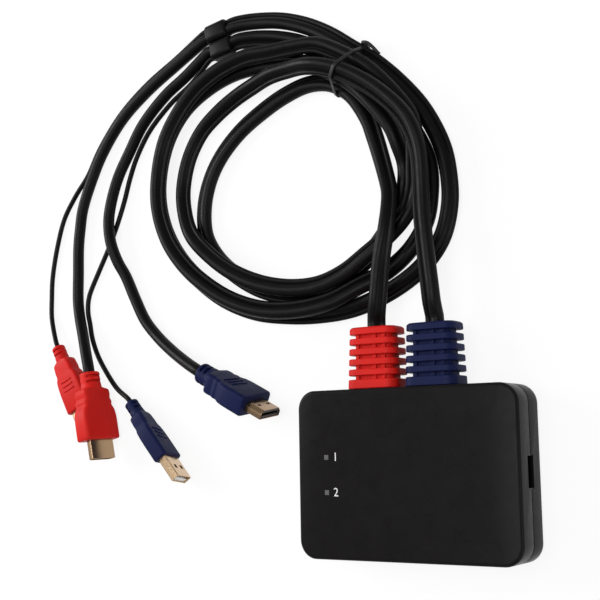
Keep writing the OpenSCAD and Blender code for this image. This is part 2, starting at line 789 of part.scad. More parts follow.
module hdmi_plug() {
    w = hdmi_plug_w;
    t = hdmi_plug_t;
    skin([
        plug_ring(0, 9.4, 9.4, 4.7), plug_ring(1.5, 9.6, 9.6, 4.8),
        plug_ring(1.5, 7.4, 7.4, 3.7), plug_ring(2.7, 7.4, 7.4, 3.7),
        plug_ring(2.7, 9.8, 9.8, 4.9), plug_ring(4.2, 9.8, 9.8, 4.9),
        plug_ring(4.2, 7.6, 7.6, 3.8), plug_ring(5.4, 7.6, 7.6, 3.8),
        plug_ring(5.4, 9.8, 9.8, 4.9), plug_ring(8, 9.9, 9.9, 4.9),
        plug_ring(9, 0.76 * w, 0.95 * t, plug_r), plug_ring(15, 0.81 * w, 0.95 * t, plug_r),
        plug_ring(17, 0.88 * w, 0.95 * t, plug_r), plug_ring(24, 0.98 * w, t, plug_r),
        plug_ring(hdmi_len - 0.6, w, t, plug_r), plug_ring(hdmi_len, w - 1.2, t - 1.2, plug_r - 0.6),
    ]);
}

module usb_plug() {
    w = usb_plug_w;
    t = usb_plug_t;
    skin([
        plug_ring(0, 6.2, 6.2, 3.1), plug_ring(1.6, 6.4, 6.4, 3.2),
        plug_ring(1.6, 5.4, 5.4, 2.7), plug_ring(2.6, 5.4, 5.4, 2.7),
        plug_ring(2.6, 6.6, 6.6, 3.3), plug_ring(4.2, 6.6, 6.6, 3.3),
        plug_ring(4.2, 5.6, 5.6, 2.8), plug_ring(5.2, 5.6, 5.6, 2.8),
        plug_ring(5.2, 6.8, 6.8, 3.4), plug_ring(8, 7, 7, 3.5),
        plug_ring(9, 0.7 * w, 0.9 * t, plug_r), plug_ring(16, 0.82 * w, 0.95 * t, plug_r),
        plug_ring(22, 0.95 * w, t, plug_r), plug_ring(usb_len - 0.6, w, t, plug_r),
        plug_ring(usb_len, w - 1.2, t - 1.2, plug_r - 0.6),
    ]);
}

// Turns a flat outline so that it stands across X
module across_x(s, length) {
    translate([s, 0, 0]) rotate([90, 0, 90]) linear_extrude(length) children();
}

module hdmi_tip_inside() {
    hdmi_outline(hdmi_tip_w - 2 * tip_wall, hdmi_tip_h - 2 * tip_wall);
}

module hdmi_tip_shell() {
    difference() {
        across_x(hdmi_len, hdmi_tip) hdmi_outline(hdmi_tip_w, hdmi_tip_h);
        across_x(hdmi_len + 0.5, hdmi_tip) hdmi_tip_inside();
    }
}

module hdmi_tip_core() {
    difference() {
        across_x(hdmi_len + 0.5, hdmi_tip - 1.3) hdmi_tip_inside();
        box([12, 11, 1.5], [hdmi_len + 9, 0, 0.2]);
    }
}

module usb_tip_shell() {
    inner = [usb_tip_w - 2 * tip_wall, usb_tip_h - 2 * tip_wall];
    difference() {
        translate([usb_len, -usb_tip_w / 2, -usb_tip_h / 2]) cube([usb_tip, usb_tip_w, usb_tip_h]);
        translate([usb_len + 0.5, -inner[0] / 2, -inner[1] / 2]) cube([usb_tip, inner[0], inner[1]]);
        for (y = [-2.6, 2.6]) box([2.2, 2.2, 3 * usb_tip_h], [usb_len + 6.5, y, 1.6 * usb_tip_h]);
    }
}

module usb_tip_core() {
    w = usb_tip_w - 2 * tip_wall;
    translate([usb_len + 0.5, -w / 2, tip_wall - usb_tip_h / 2]) cube([usb_tip - 1.2, w, 1.9]);
}

module usb_tip_fingers() {
    for (i = [-1.5:1.5])
        translate([usb_len + 2, 2.4 * i - 0.5, tip_wall + 1.9 - usb_tip_h / 2]) cube([usb_tip - 4, 1, 0.2]);
}

module at_red_hdmi() {
    at_plug(red_hdmi_at, red_hdmi_z, red_hdmi_turn) children();
}

module at_blue_hdmi() {
    at_plug(blue_hdmi_at, blue_hdmi_z, blue_hdmi_turn) children();
}

module at_red_usb() {
    at_plug(red_usb_at, red_usb_z, red_usb_turn) children();
}

module at_blue_usb() {
    at_plug(blue_usb_at, blue_usb_z, blue_usb_turn) children();
}

module red_hdmi_plug() {
    color("#d23a38") at_red_hdmi() hdmi_plug();
}

module blue_hdmi_plug() {
    color("#3a4a90") at_blue_hdmi() hdmi_plug();
}

module red_usb_plug() {
    color("#d23a38") at_red_usb() usb_plug();
}

module blue_usb_plug() {
    color("#3a4a90") at_blue_usb() usb_plug();
}

module red_hdmi_tip() {
    color("#cfae72") at_red_hdmi() hdmi_tip_shell();
}

module blue_hdmi_tip() {
    color("#cfae72") at_blue_hdmi() hdmi_tip_shell();
}

module red_usb_tip() {
    color("#c8cacc") at_red_usb() usb_tip_shell();
}

module blue_usb_tip() {
    color("#c8cacc") at_blue_usb() usb_tip_shell();
}

module red_hdmi_core() {
    color("#1b1b1d") at_red_hdmi() hdmi_tip_core();
}

module blue_hdmi_core() {
    color("#1b1b1d") at_blue_hdmi() hdmi_tip_core();
}

module red_usb_core() {
    color("#eeeeec") at_red_usb() usb_tip_core();
}

module blue_usb_core() {
    color("#eeeeec") at_blue_usb() usb_tip_core();
}

module red_usb_contacts() {
    color("#d0a850") at_red_usb() usb_tip_fingers();
}

module blue_usb_contacts() {
    color("#d0a850") at_blue_usb() usb_tip_fingers();
}

// Tie: a flat band round four cords, drawn across the coil

module tie_outline(gap) {
    offset(delta = gap) hull()
        for (c = tie_cords) {
            translate([c[0] - c[2] * thin_d / 2, c[1]]) circle(d = thick_d, $fn = 12);
            translate([c[0] + c[2] * thick_d / 2, c[1]]) circle(d = thin_d, $fn = 12);
        }
}

module twist_tie() {
    color("#4a4a4c") translate([tie_at[0], tie_at[1] + shift_y, 0]) rotate(tie_turn)
        rotate([90, 0, 0]) linear_extrude(tie_w, center = true)
            difference() {
                tie_outline(tie_gap + tie_t);
                tie_outline(tie_gap);
            }
}

top_cover();
bottom_cover();
case_screws();
rubber_feet();
circuit_board();
board_screws();
switch_chip();
hub_chip();
crystals();
capacitors();
chip_components();
status_leds();
light_pipes();
select_button();
tact_switch();
tact_plunger();
side_usb_shell();
side_usb_tongue();
side_usb_contacts();
console_usb_shells();
console_usb_tongues();
console_usb_contacts();
hdmi_out_shell();
hdmi_out_tongue();
wire_headers();
red_wires();
blue_wires();
red_strain_relief();
blue_strain_relief();
red_cable();
blue_cable();
red_collar();
blue_collar();
red_hdmi_lead_cord();
blue_hdmi_lead_cord();
red_usb_lead_cord();
blue_usb_lead_cord();
red_hdmi_plug();
blue_hdmi_plug();
red_usb_plug();
blue_usb_plug();
red_hdmi_tip();
blue_hdmi_tip();
red_usb_tip();
blue_usb_tip();
red_hdmi_core();
blue_hdmi_core();
red_usb_core();
blue_usb_core();
red_usb_contacts();
blue_usb_contacts();
twist_tie();
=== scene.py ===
"""KVM switch with two built-in cords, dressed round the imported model.

Sizes and places are in millimetres and become metres through MM. Angles are in degrees,
and only ROLL is in radians.
"""
import json
import math

import bmesh
import bpy
from mathutils import Matrix, Vector, geometry, noise


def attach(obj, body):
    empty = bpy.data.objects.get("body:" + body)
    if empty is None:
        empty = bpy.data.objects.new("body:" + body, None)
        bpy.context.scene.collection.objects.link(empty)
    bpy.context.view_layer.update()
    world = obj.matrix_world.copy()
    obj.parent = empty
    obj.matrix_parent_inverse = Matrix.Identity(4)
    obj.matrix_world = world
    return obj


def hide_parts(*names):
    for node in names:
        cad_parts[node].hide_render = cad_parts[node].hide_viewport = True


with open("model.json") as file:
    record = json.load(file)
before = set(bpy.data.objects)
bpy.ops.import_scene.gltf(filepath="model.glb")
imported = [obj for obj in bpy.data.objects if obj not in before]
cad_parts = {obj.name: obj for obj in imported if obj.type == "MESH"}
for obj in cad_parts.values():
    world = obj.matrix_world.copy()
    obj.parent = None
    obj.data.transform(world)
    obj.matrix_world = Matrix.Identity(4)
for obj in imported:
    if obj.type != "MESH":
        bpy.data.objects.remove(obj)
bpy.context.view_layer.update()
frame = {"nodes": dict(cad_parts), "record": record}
MM = 0.001
SWITCH = "switch"
# Edges steeper than this stay crisp under smooth shading
SHARP = 40
# Share of a side that one rounded corner may take, so that no side shrinks to a sliver
ROUNDEST = 0.49


def add_object(name, data):
    obj = bpy.data.objects.new(name, data)
    bpy.context.collection.objects.link(obj)
    return obj


# ---------------------------------------------------------------- camera

CAMERA_AT = Vector((216.9, 11.04, 432.2))
CAMERA_FORWARD = Vector((-0.53793, 0.12884, -0.83308))
CAMERA_UP = Vector((0.08427, 0.99152, 0.09893))
LENS, SENSOR_W = 68.38, 36
CLIP_START = 10


def make_camera():
    """Looks down on the switch from its side, as a desk photograph does."""
    right = CAMERA_FORWARD.cross(CAMERA_UP)
    data = bpy.data.cameras.new("camera")
    data.lens = LENS
    data.sensor_width = SENSOR_W
    data.clip_start = CLIP_START * MM
    turn = Matrix((right, CAMERA_UP, -CAMERA_FORWARD)).transposed().to_4x4()
    camera = add_object("camera", data)
    camera.matrix_world = Matrix.Translation(CAMERA_AT * MM) @ turn
    bpy.context.scene.camera = camera


make_camera()


# ---------------------------------------------------------------- mesh helpers

def shade(mesh, sharp=SHARP):
    mesh.shade_smooth()
    mesh.set_sharp_from_angle(angle=math.radians(sharp))


def mesh_object(name, points, faces, sharp=SHARP):
    """A smooth-shaded mesh whose edges steeper than `sharp` stay crisp. Its points are in metres."""
    mesh = bpy.data.meshes.new(name)
    mesh.from_pydata([tuple(p) for p in points], [], faces)
    mesh.validate()
    shade(mesh, sharp)
    return add_object(name, mesh)


def from_bmesh(name, bm):
    """Turns a bmesh into a smooth-shaded object and frees it."""
    mesh = bpy.data.meshes.new(name)
    bm.to_mesh(mesh)
    bm.free()
    shade(mesh)
    return add_object(name, mesh)


def loft(name, rings, sharp=SHARP):
    """Skins closed rings of equal length, in metres, and caps both ends."""
    count = len(rings[0])
    points = [p for ring in rings for p in ring]
    faces = [tuple(range(count - 1, -1, -1))]
    for j in range(len(rings) - 1):
        for i in range(count):
            a, b = j * count + i, j * count + (i + 1) % count
            faces.append((a, b, b + count, a + count))
    last = (len(rings) - 1) * count
    faces.append(tuple(range(last, last + count)))
    return mesh_object(name, points, faces, sharp)


def outline(width, depth, radius, steps=8):
    """Rounded rectangle, counter-clockwise, as (x, y) pairs."""
    radius = min(radius, ROUNDEST * width, ROUNDEST * depth)
    points = []
    for quarter in range(4):
        sx = 1 if quarter in (0, 3) else -1
        sy = 1 if quarter < 2 else -1
        for i in range(steps + 1):
            a = math.radians(90 * (quarter + i / steps))
            points.append((sx * (width / 2 - radius) + radius * math.cos(a),
                           sy * (depth / 2 - radius) + radius * math.sin(a)))
    return points


def block(name, size, centre, bevel=0.0, segments=3):
    """Box with rounded edges."""
    bm = bmesh.new()
    bmesh.ops.create_cube(bm, size=1)
    bmesh.ops.scale(bm, vec=Vector(size) * MM, verts=bm.verts)
    if bevel:
        bmesh.ops.bevel(bm, geom=bm.edges[:], offset=bevel * MM, segments=segments, profile=0.5,
                        affect="EDGES")
    bmesh.ops.translate(bm, vec=Vector(centre) * MM, verts=bm.verts)
    return from_bmesh(name, bm)


def disc(name, radius, height, centre):
    """Flat round cylinder."""
    bm = bmesh.new()
    bmesh.ops.create_cone(bm, segments=48, radius1=radius * MM, radius2=radius * MM,
                          depth=height * MM, cap_ends=True)
    bmesh.ops.translate(bm, vec=Vector(centre) * MM, verts=bm.verts)
    return from_bmesh(name, bm)


def join(name, parts):
    """Joins meshes into one piece."""
    bm = bmesh.new()
    for part in parts:
        part.data.transform(part.matrix_world)
        bm.from_mesh(part.data)
        bpy.data.objects.remove(part)
    return from_bmesh(name, bm)


def place(obj, matrix):
    obj.data.transform(matrix)
    return obj


def cut(obj, cutters):
    """Takes the cutters out of a piece."""
    for cutter in cutters:
        modifier = obj.modifiers.new("cut", "BOOLEAN")
        modifier.operation = "DIFFERENCE"
        modifier.solver = "EXACT"
        modifier.object = cutter
    depsgraph = bpy.context.evaluated_depsgraph_get()
    mesh = bpy.data.meshes.new_from_object(obj.evaluated_get(depsgraph))
    obj.modifiers.clear()
    old = obj.data
    obj.data = mesh
    mesh.name = obj.name
    bpy.data.meshes.remove(old)
    for cutter in cutters:
        bpy.data.objects.remove(cutter)
    shade(mesh)
    return obj


def finish_piece(obj, slot, nodes=(), look=None):
    """Puts a piece on the switch, in its material, in place of the CAD nodes that it stands for."""
    obj.data.materials.clear()
    obj.data.materials.append(MATERIALS[look or slot])
    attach(obj, SWITCH)
    if nodes:
        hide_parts(*nodes)
    return obj


# ---------------------------------------------------------------- materials

# Noises: spots per metre, detail, roughness. Three take their spots per metre from the material
MOTTLE = (90, 6, 0.55)
GLOSS = (240, 5, 0.6)
WEAR = (160, 6, 0.65)
FLOOR_GLOSS = (20, 4, 0.6)
GRAIN = (3, 0.7)
BRUSH = (4, 0.6)
SCRATCHES = (3, 0.6)
# Part of a noise that is spread over the whole range of a colour or a gloss
NOISE_RANGE = (0.3, 0.7)
# How much darker, lighter, glossier and duller worn metal gets, and how deep its scratches are
WORN_DARK, WORN_LIGHT, WORN_GLOSS, WORN_DULL, SCRATCH_DEPTH = 0.06, 0.04, 0.05, 0.08, 0.002


class Shader:
    """A Principled material with a few helpers for its nodes."""

    def __init__(self, name, colour, roughness, **values):
        self.material = bpy.data.materials.new(name)
        self.material.use_nodes = True
        self.nodes = self.material.node_tree.nodes
        self.links = self.material.node_tree.links
        self.bsdf = self.nodes["Principled BSDF"]
        self.put("Base Color", (*colour, 1))
        self.put("Roughness", roughness)
        for key, value in values.items():
            self.put(key.replace("_", " "), value)

    def put(self, socket, value):
        self.bsdf.inputs[socket].default_value = value

    def node(self, kind, **inputs):
        made = self.nodes.new(kind)
        for key, value in inputs.items():
            made.inputs[key.replace("_", " ")].default_value = value
        return made

    def noise(self, scale, detail, roughness):
        coordinates = self.node("ShaderNodeTexCoord").outputs["Object"]
        texture = self.node("ShaderNodeTexNoise", Scale=scale, Detail=detail, Roughness=roughness)
        self.links.new(coordinates, texture.inputs["Vector"])
        return texture.outputs["Fac"]

    def vary_colour(self, source, dark, light):
        ramp = self.nodes.new("ShaderNodeValToRGB")
        for stop, at, colour in zip(ramp.color_ramp.elements, NOISE_RANGE, (dark, light)):
            stop.position = at
            stop.color = (*colour, 1)
        self.links.new(source, ramp.inputs["Fac"])
        self.links.new(ramp.outputs["Color"], self.bsdf.inputs["Base Color"])

    def vary_roughness(self, source, low, high):
        start, end = NOISE_RANGE
        ramp = self.node("ShaderNodeMapRange", From_Min=start, From_Max=end, To_Min=low, To_Max=high)
        self.links.new(source, ramp.inputs["Value"])
        self.links.new(ramp.outputs["Result"], self.bsdf.inputs["Roughness"])

    def bump(self, source, distance):
        made = self.node("ShaderNodeBump", Distance=distance, Strength=1.0)
        self.links.new(source, made.inputs["Height"])
        self.links.new(made.outputs["Normal"], self.bsdf.inputs["Normal"])


def tinted(colour, factor):
    return tuple(min(1.0, c * factor) for c in colour)


def plastic(name, colour, roughness, grain=2600, depth=0.02, spread=0.06, contrast=0.12, specular=0.5):
    """Moulded plastic: grain of so many spots per metre, soft mottling and slightly uneven gloss."""
    shader = Shader(name, colour, roughness, Specular_IOR_Level=specular)
    mottle = shader.noise(*MOTTLE)
    shader.vary_colour(mottle, tinted(colour, 1 - contrast), tinted(colour, 1 + contrast))
    shader.vary_roughness(shader.noise(*GLOSS), roughness - spread, roughness + spread)
    shader.bump(shader.noise(grain, *GRAIN), depth * MM)
    return shader.material


def metal(name, colour, roughness, brushed=700, wear=1.0):
    """Plated sheet metal with fine wear marks, fainter where `wear` is small."""
    shader = Shader(name, colour, roughness, Metallic=1.0)
    worn = shader.noise(*WEAR)
    shader.vary_colour(worn, tinted(colour, 1 - WORN_DARK * wear), tinted(colour, 1 + WORN_LIGHT * wear))
    shader.vary_roughness(shader.noise(brushed, *BRUSH),
                          roughness - WORN_GLOSS * wear, roughness + WORN_DULL * wear)
    shader.bump(shader.noise(brushed * 2, *SCRATCHES), SCRATCH_DEPTH * MM * wear)
    return shader.material


# Colour, roughness and what differs from an ordinary moulded plastic
PLASTICS = {
    "case_black": ((0.0082, 0.0074, 0.0077), 0.30,
                   {"grain": 3400, "depth": 0.014, "spread": 0.05, "contrast": 0.10, "specular": 0.05}),
    "cord_black": ((0.0036, 0.0032, 0.0033), 0.40,
                   {"grain": 1500, "depth": 0.012, "spread": 0.07, "contrast": 0.16, "specular": 0.095}),
    "red_rubber": ((0.52, 0.011, 0.008), 0.50,
                   {"grain": 2200, "depth": 0.014, "spread": 0.05, "contrast": 0.07, "specular": 0.10}),
    "blue_rubber": ((0.0062, 0.0098, 0.046), 0.50,
                    {"grain": 2200, "depth": 0.014, "spread": 0.05, "contrast": 0.10, "specular": 0.07}),
    "button_grey": ((0.030, 0.030, 0.032), 0.5, {}),
    "foot_rubber": ((0.012, 0.012, 0.012), 0.75, {"grain": 900, "depth": 0.04}),
    "board_green": ((0.010, 0.110, 0.045), 0.30, {"grain": 700, "depth": 0.01}),
    "chip_black": ((0.014, 0.014, 0.015), 0.55, {"grain": 1800}),
    "component_brown": ((0.24, 0.14, 0.07), 0.5, {}),
    "light_clear": ((0.075, 0.075, 0.073), 0.35, {"grain": 900, "spread": 0.05, "contrast": 0.25}),
    "insulator_white": ((0.72, 0.72, 0.70), 0.42,
                        {"grain": 1600, "depth": 0.01, "spread": 0.05, "contrast": 0.04}),
    "insulator_black": ((0.010, 0.010, 0.011), 0.45, {}),
    "red_insulation": ((0.40, 0.02, 0.02), 0.4, {}),
    "blue_insulation": ((0.02, 0.04, 0.30), 0.4, {}),
    "tie_grey": ((0.011, 0.010, 0.011), 0.42, {"grain": 1200, "depth": 0.01, "specular": 0.2}),
    "print_white": ((0.62, 0.62, 0.62), 0.6, {"depth": 0.01, "spread": 0.04, "contrast": 0.08}),
}
# Colour, roughness and what differs from ordinary plated metal
METALS = {
    "screw_steel": ((0.55, 0.56, 0.58), 0.32, {}),
    "socket_steel": ((0.22, 0.21, 0.20), 0.30, {}),
    # Near-black steel: painted shade, standing in for the shade inside the side USB slot
    "socket_dark": ((0.035, 0.032, 0.030), 0.35, {}),
    "usb_steel": ((0.64, 0.455, 0.285), 0.26, {"brushed": 250, "wear": 0.1}),
    "capacitor_aluminium": ((0.62, 0.63, 0.65), 0.35, {}),
    "contact_gold": ((0.83, 0.60, 0.26), 0.25, {}),
    "tip_gold": ((0.37, 0.245, 0.145), 0.24, {"brushed": 250, "wear": 0.1}),
}
MATERIALS = {}
for make, table in ((plastic, PLASTICS), (metal, METALS)):
    for name, (colour, roughness, rest) in table.items():
        MATERIALS[name] = make(name, colour, roughness, **rest)

# CAD pieces that look different from the rest of their material slot. The side USB shell gets near-black
# steel, a painted shade for the shade inside its slot in the case wall
OWN_LOOKS = {"side_usb_shell": "socket_dark"}
for subpart in frame["record"]["subparts"]:
    node = subpart["node"]
    slots = frame["nodes"][node].data.materials
    slots.clear()
    slots.append(MATERIALS[OWN_LOOKS.get(node, subpart["material_slot"])])


# ---------------------------------------------------------------- cords

THICK, THIN = 5.7, 2.5
# What lies on the table stays this far above it
ON_TABLE = 0.05
# Height of the lowest cord's centre, and from one cord to the next one above it
LIFT, LAYER = THICK / 2 + ON_TABLE, THICK + 0.2
RELIEF_X = {"red": -16.0, "blue": 11.0}
PORT_Z = 12.0
CORD_START_Y = 61.0
# A cord starts this far inside its relief, and runs straight for so long out of what holds it
TUCK, LEAD_IN = 4, 3.0
CORD_STEP = 2.4
# Angles on the thin and the thick cord where their round sections meet
THIN_MEETS, THICK_MEETS = 148, 16
# A double cord rolls by up to this many radians, over about this many millimetres
ROLL, ROLL_PERIOD = 0.35, 55
# Samples at each end over which the roll fades out
ROLL_FADE = 12

# Third number: 0 lies on the table, 1 rests on one cord, 2 on two
RED_ROUTE = [
    (-14.5, 69, 1.9), (-13, 77, 2.05), (-12, 85, 2.05), (-11, 91, 2.05),
    (-9.5, 97.5, 2.05), (-8.5, 104, 1.95), (-8.5, 112, 1.55), (-10, 120, 0.95),
    (-13.3, 128.5, 0.4), (-16.8, 138, 0.05), (-19.6, 146.8, 0), (-22.8, 156, 0.05),
    (-30, 167.3, 0.15),
    (-40.5, 174.6, 0.15), (-53.5, 176.8, 0.05), (-67, 174, 0), (-80, 168.5, 0),
    (-93, 161, 0), (-104, 151, 0), (-111, 140, 0), (-114.5, 127, 0),
    (-113.5, 113, 0), (-106, 101, 0), (-94, 91, 0), (-80, 83.5, 0),
    (-66, 80, 0), (-53, 79, 0), (-40, 82, 0), (-28, 90, 0),
    (-17, 101, 0), (-8.5, 112, 0), (-5, 123, 0), (-4.5, 132, 0.05),
    (-5.6, 140, 0.6), (-8.6, 149, 0.9), (-16.5, 159.8, 1), (-26.6, 170.5, 1),
    (-38, 178.5, 1.05), (-49.5, 184.5, 0.6), (-63, 189.5, 0.05), (-79, 191, 0),
    (-96, 190.5, 0), (-112, 186, 0), (-126, 178, 0), (-136, 166, 0),
    (-141.5, 151, 0), (-142.5, 135, 0), (-138.5, 119, 0), (-129.5, 104, 0),
    (-117, 91.5, 0), (-102, 81, 0), (-85, 74, 0), (-68, 71, 0),
    (-50, 70, 0), (-32, 71.5, 0), (-14.5, 77, 0), (0.5, 85.5, 0),
    (11, 97, 0), (15.5, 111, 0), (15.5, 125, 0), (12.5, 138.5, 0),
    (4.5, 154.5, 0), (-6, 168, 0.05), (-18, 180, 0.15), (-30, 189, 0.17),
    (-42, 198, 0.05), (-55, 205.5, 0), (-69, 211, 0), (-84, 214, 0),
    (-95, 214.7, 0.05), (-99, 214, 0.05),
]
BLUE_ROUTE = [
    (11, 69, 1.9), (10.5, 78, 2.05), (9.5, 88, 2.05), (8.5, 98, 2),
    (7.5, 108, 1.85), (7, 118, 1.75), (7, 127, 1.8), (6.5, 135, 1.9),
    (4, 144, 2), (-1, 152.5, 2.05), (-12, 163.5, 2.05), (-24.5, 172.5, 2.05),
    (-36.5, 178.3, 2.05), (-48, 181.5, 1.9), (-59.5, 183, 1.3), (-71.5, 183, 0.9),
    (-83, 181.5, 0.3), (-95, 178, 0), (-106, 172, 0), (-116, 164, 0),
    (-123.5, 152, 0), (-127, 138, 0), (-124.5, 125, 0.35), (-117, 112.5, 1),
    (-106, 101.5, 1), (-93, 92.5, 1), (-78, 86, 1), (-62, 82.5, 1),
    (-47, 82.5, 1), (-34, 86.5, 1), (-23, 93, 1), (-12, 100.5, 0.9),
    (-3.5, 109, 0.75), (1, 119, 0.75), (2, 128, 0.85), (2.5, 135.5, 0.95),
    (2.5, 143, 1), (0.5, 152, 1), (-9, 165, 1.02), (-20.5, 177, 1.1),
    (-32.5, 185.5, 1.1), (-45, 192, 1.1), (-57.5, 193.5, 1.05), (-71, 194, 1),
    (-85, 194.5, 1), (-101, 191, 1), (-115, 184, 1), (-126, 173.5, 1),
    (-134, 161, 1), (-138, 145, 1), (-138, 129, 1), (-132.5, 113, 1),
    (-122.5, 99.5, 1), (-109.5, 88.5, 1), (-94, 79.5, 1), (-77, 74, 1),
    (-59, 72.5, 1), (-42, 74.5, 0.95), (-28, 80.5, 0.55), (-15, 86.5, 0),
    (-3.5, 95, 0), (4, 106, 0), (6.5, 118, 0), (6.5, 128, 0),
    (4, 137, 0), (-3, 150, 0), (-12.5, 162.5, 0.05), (-24, 174, 0.15),
    (-35, 182, 0.17), (-46.5, 191, 0.05), (-58, 197.5, 0), (-70, 202, 0),
    (-82, 204.8, 0), (-92, 205.7, 0.05), (-96, 205, 0.05),
]
# Third number of the leads: height of the centre
RED_HDMI_LEAD = [
    (-131, 202, 2.9), (-150, 192, 2.9), (-167, 180, 2.9), (-180, 165, 2.9),
    (-188, 151, 2.9), (-194, 137, 2.9), (-196, 126, 2.9), (-197, 116, 2.9),
    (-197, 103, 2.9), (-197, 89, 2.9), (-195, 79.5, 3.6), (-190.5, 70, 6),
    (-185.5, 60, 9),
]
RED_USB_LEAD = [
    (-132.5, 206, 1.4), (-152, 196, 1.4), (-169.5, 183.5, 1.4), (-183.5, 168, 1.4),
    (-192, 154.5, 1.4), (-201, 144.5, 1.4), (-209, 133, 1.4), (-214, 118, 1.4),
    (-217, 103, 1.4), (-217.5, 91, 1.4), (-217, 82, 1.8), (-214, 74, 3.2),
]
BLUE_HDMI_LEAD = [
    (-125, 195, 2.9), (-139, 187, 2.9), (-153, 175, 2.9), (-162, 162, 3),
    (-168.5, 150, 4), (-172, 138, 5.2), (-173.5, 127, 5.8), (-172, 116, 5.8),
    (-168.5, 106, 4.5), (-164, 98, 3.2), (-158, 86, 2.9), (-151.5, 75, 3.1),
    (-142.5, 66, 4), (-132, 58.5, 6.2), (-121, 52, 8.8),
]
BLUE_USB_LEAD = [
    (-123, 191, 1.4), (-136.5, 183, 1.4), (-149.5, 172, 1.4), (-158, 160, 1.4),
    (-163, 149, 1.4), (-167, 137, 1.4), (-172, 125, 1.4), (-177.5, 114, 1.4),
    (-184.5, 102, 1.4), (-190.5, 91, 1.4), (-191.5, 83, 1.4), (-190, 76, 1.4),
    (-188, 68, 1.6), (-184, 59, 1.6), (-177, 50, 2.6), (-168, 42, 5.2),
]
SPLITS = {"red": ((-99, 214), (-111, 212)), "blue": ((-96, 205), (-108, 203))}


def layers(route):
    return [(x, y, LIFT + z * LAYER) for x, y, z in route]


def smooth_route(points, step):
    """Catmull-Rom curve through the points, sampled about every `step` millimetres."""
    points = [Vector(p) for p in points]
    ends = [2 * points[0] - points[1]] + points + [2 * points[-1] - points[-2]]
    path = []
    for a, b, c, d in zip(ends, ends[1:], ends[2:], ends[3:]):
        spans = max(2, round((c - b).length / step))
        for i in range(spans):
            t = i / spans
            path.append(0.5 * (2 * b + (c - a) * t + (2 * a - 5 * b + 4 * c - d) * t * t
                               + (3 * b - a - 3 * c + d) * t ** 3))
    path.append(points[-1])
    return path


def tangents(path):
    found = []
    for i in range(len(path)):
        ahead = path[min(i + 1, len(path) - 1)]
        back = path[max(i - 1, 0)]
        found.append((ahead - back).normalized())
    return found


def arc(centre_x, diameter, start, end, count):
    """Points on part of a circle whose centre is on the x axis."""
    angles = [math.radians(start + (end - start) * i / (count - 1)) for i in range(count)]
    return [(centre_x + diameter / 2 * math.cos(a), diameter / 2 * math.sin(a)) for a in angles]


def pair_outline(side):
    """Section of the two bonded cords, thin one on side +1 or -1."""
    points = (arc(THICK / 2, THIN, -THIN_MEETS, THIN_MEETS, 10)
              + arc(-THIN / 2, THICK, THICK_MEETS, 360 - THICK_MEETS, 20))
    if side < 0:
        points = [(-x, y) for x, y in reversed(points)]
    return points


def circle(diameter, steps=20):
    angles = [math.tau * i / steps for i in range(steps)]
    return [(diameter / 2 * math.cos(a), diameter / 2 * math.sin(a)) for a in angles]


def tube(name, route, section, roll=0.0):
    """Sweeps a section along a route. Returns the piece and the path it follows, in metres."""
    path = smooth_route(route, CORD_STEP)
    rings = []
    for i, (p, t) in enumerate(zip(path, tangents(path))):
        side = Vector((0, 0, 1)).cross(t).normalized()
        up = t.cross(side)
        fade = min(1, i / ROLL_FADE, (len(path) - 1 - i) / ROLL_FADE)
        wander = noise.noise(Vector((i * CORD_STEP / ROLL_PERIOD, len(route), 0.5)))
        a = roll * fade * wander
        side, up = side * math.cos(a) + up * math.sin(a), up * math.cos(a) - side * math.sin(a)
        rings.append([(p + side * x + up * y) * MM for x, y in section])
    return loft(name, rings, sharp=60), [p * MM for p in path]


def collar_exit(colour, side, z):
    """First two points of a lead, straight out of its collar."""
    (x0, y0), (x1, y1) = SPLITS[colour]
    run = math.hypot(x1 - x0, y1 - y0)
    tx, ty = (x1 - x0) / run, (y1 - y0) / run
    x, y = x1 - side * ty, y1 + side * tx
    return [(x, y, z), (x + LEAD_IN * tx, y + LEAD_IN * ty, z)]


def plug_entry(name):
    """Last two points of a lead, straight into the neck of its plug."""
    (x, y, z), heading, _ = PLUGS[name]
    a = math.radians(heading)
    return [(x - LEAD_IN * math.cos(a), y - LEAD_IN * math.sin(a), z), (x, y, z)]


PLUG_R = 3.0
HDMI_W, HDMI_T, HDMI_LEN, HDMI_TIP = 20.2, 10.0, 34.0, 9.5
USB_W, USB_T, USB_LEN, USB_TIP = 15.6, 7.6, 36.0, 12.5


def plug_place(x, y, width, thick, heading, roll):
    """Cord entry, heading and roll of a plug that lies on the table."""
    a = math.radians(roll)
    lean = (width / 2 - PLUG_R) * abs(math.sin(a)) + (thick / 2 - PLUG_R) * abs(math.cos(a))
    return (x, y, lean + PLUG_R + ON_TABLE), heading, roll


PLUGS = {
    "red_hdmi": plug_place(-181.9, 50, HDMI_W, HDMI_T, -78.5, -80),
    "blue_hdmi": plug_place(-110.8, 46.7, HDMI_W, HDMI_T, -27.5, 100),
    "red_usb": plug_place(-209.8, 65, USB_W, USB_T, -61.8, 3),
    "blue_usb": plug_place(-156.5, 34.3, USB_W, USB_T, -49.5, -101),
}
# Route, place beside the collar's middle and diameter
LEADS = {
    "red_hdmi": (RED_HDMI_LEAD, THIN / 2, THICK),
    "red_usb": (RED_USB_LEAD, -THICK / 2, THIN),
    "blue_hdmi": (BLUE_HDMI_LEAD, -THIN / 2, THICK),
    "blue_usb": (BLUE_USB_LEAD, THICK / 2, THIN),
}
LEAD_Z = LIFT + RED_ROUTE[-1][2] * LAYER

cords = {}
for colour, route, side in (("red", RED_ROUTE, -1), ("blue", BLUE_ROUTE, 1)):
    start = [(RELIEF_X[colour], CORD_START_Y + s, PORT_Z) for s in (-TUCK, 0, LEAD_IN)]
    cords[colour] = tube(f"{colour}_long_cord", start + layers(route), pair_outline(side), ROLL)
for lead, (route, side, diameter) in LEADS.items():
    begin = collar_exit(lead.split("_")[0], side, LEAD_Z)
    cords[lead] = tube(f"{lead}_lead", begin + route + plug_entry(lead), circle(diameter))


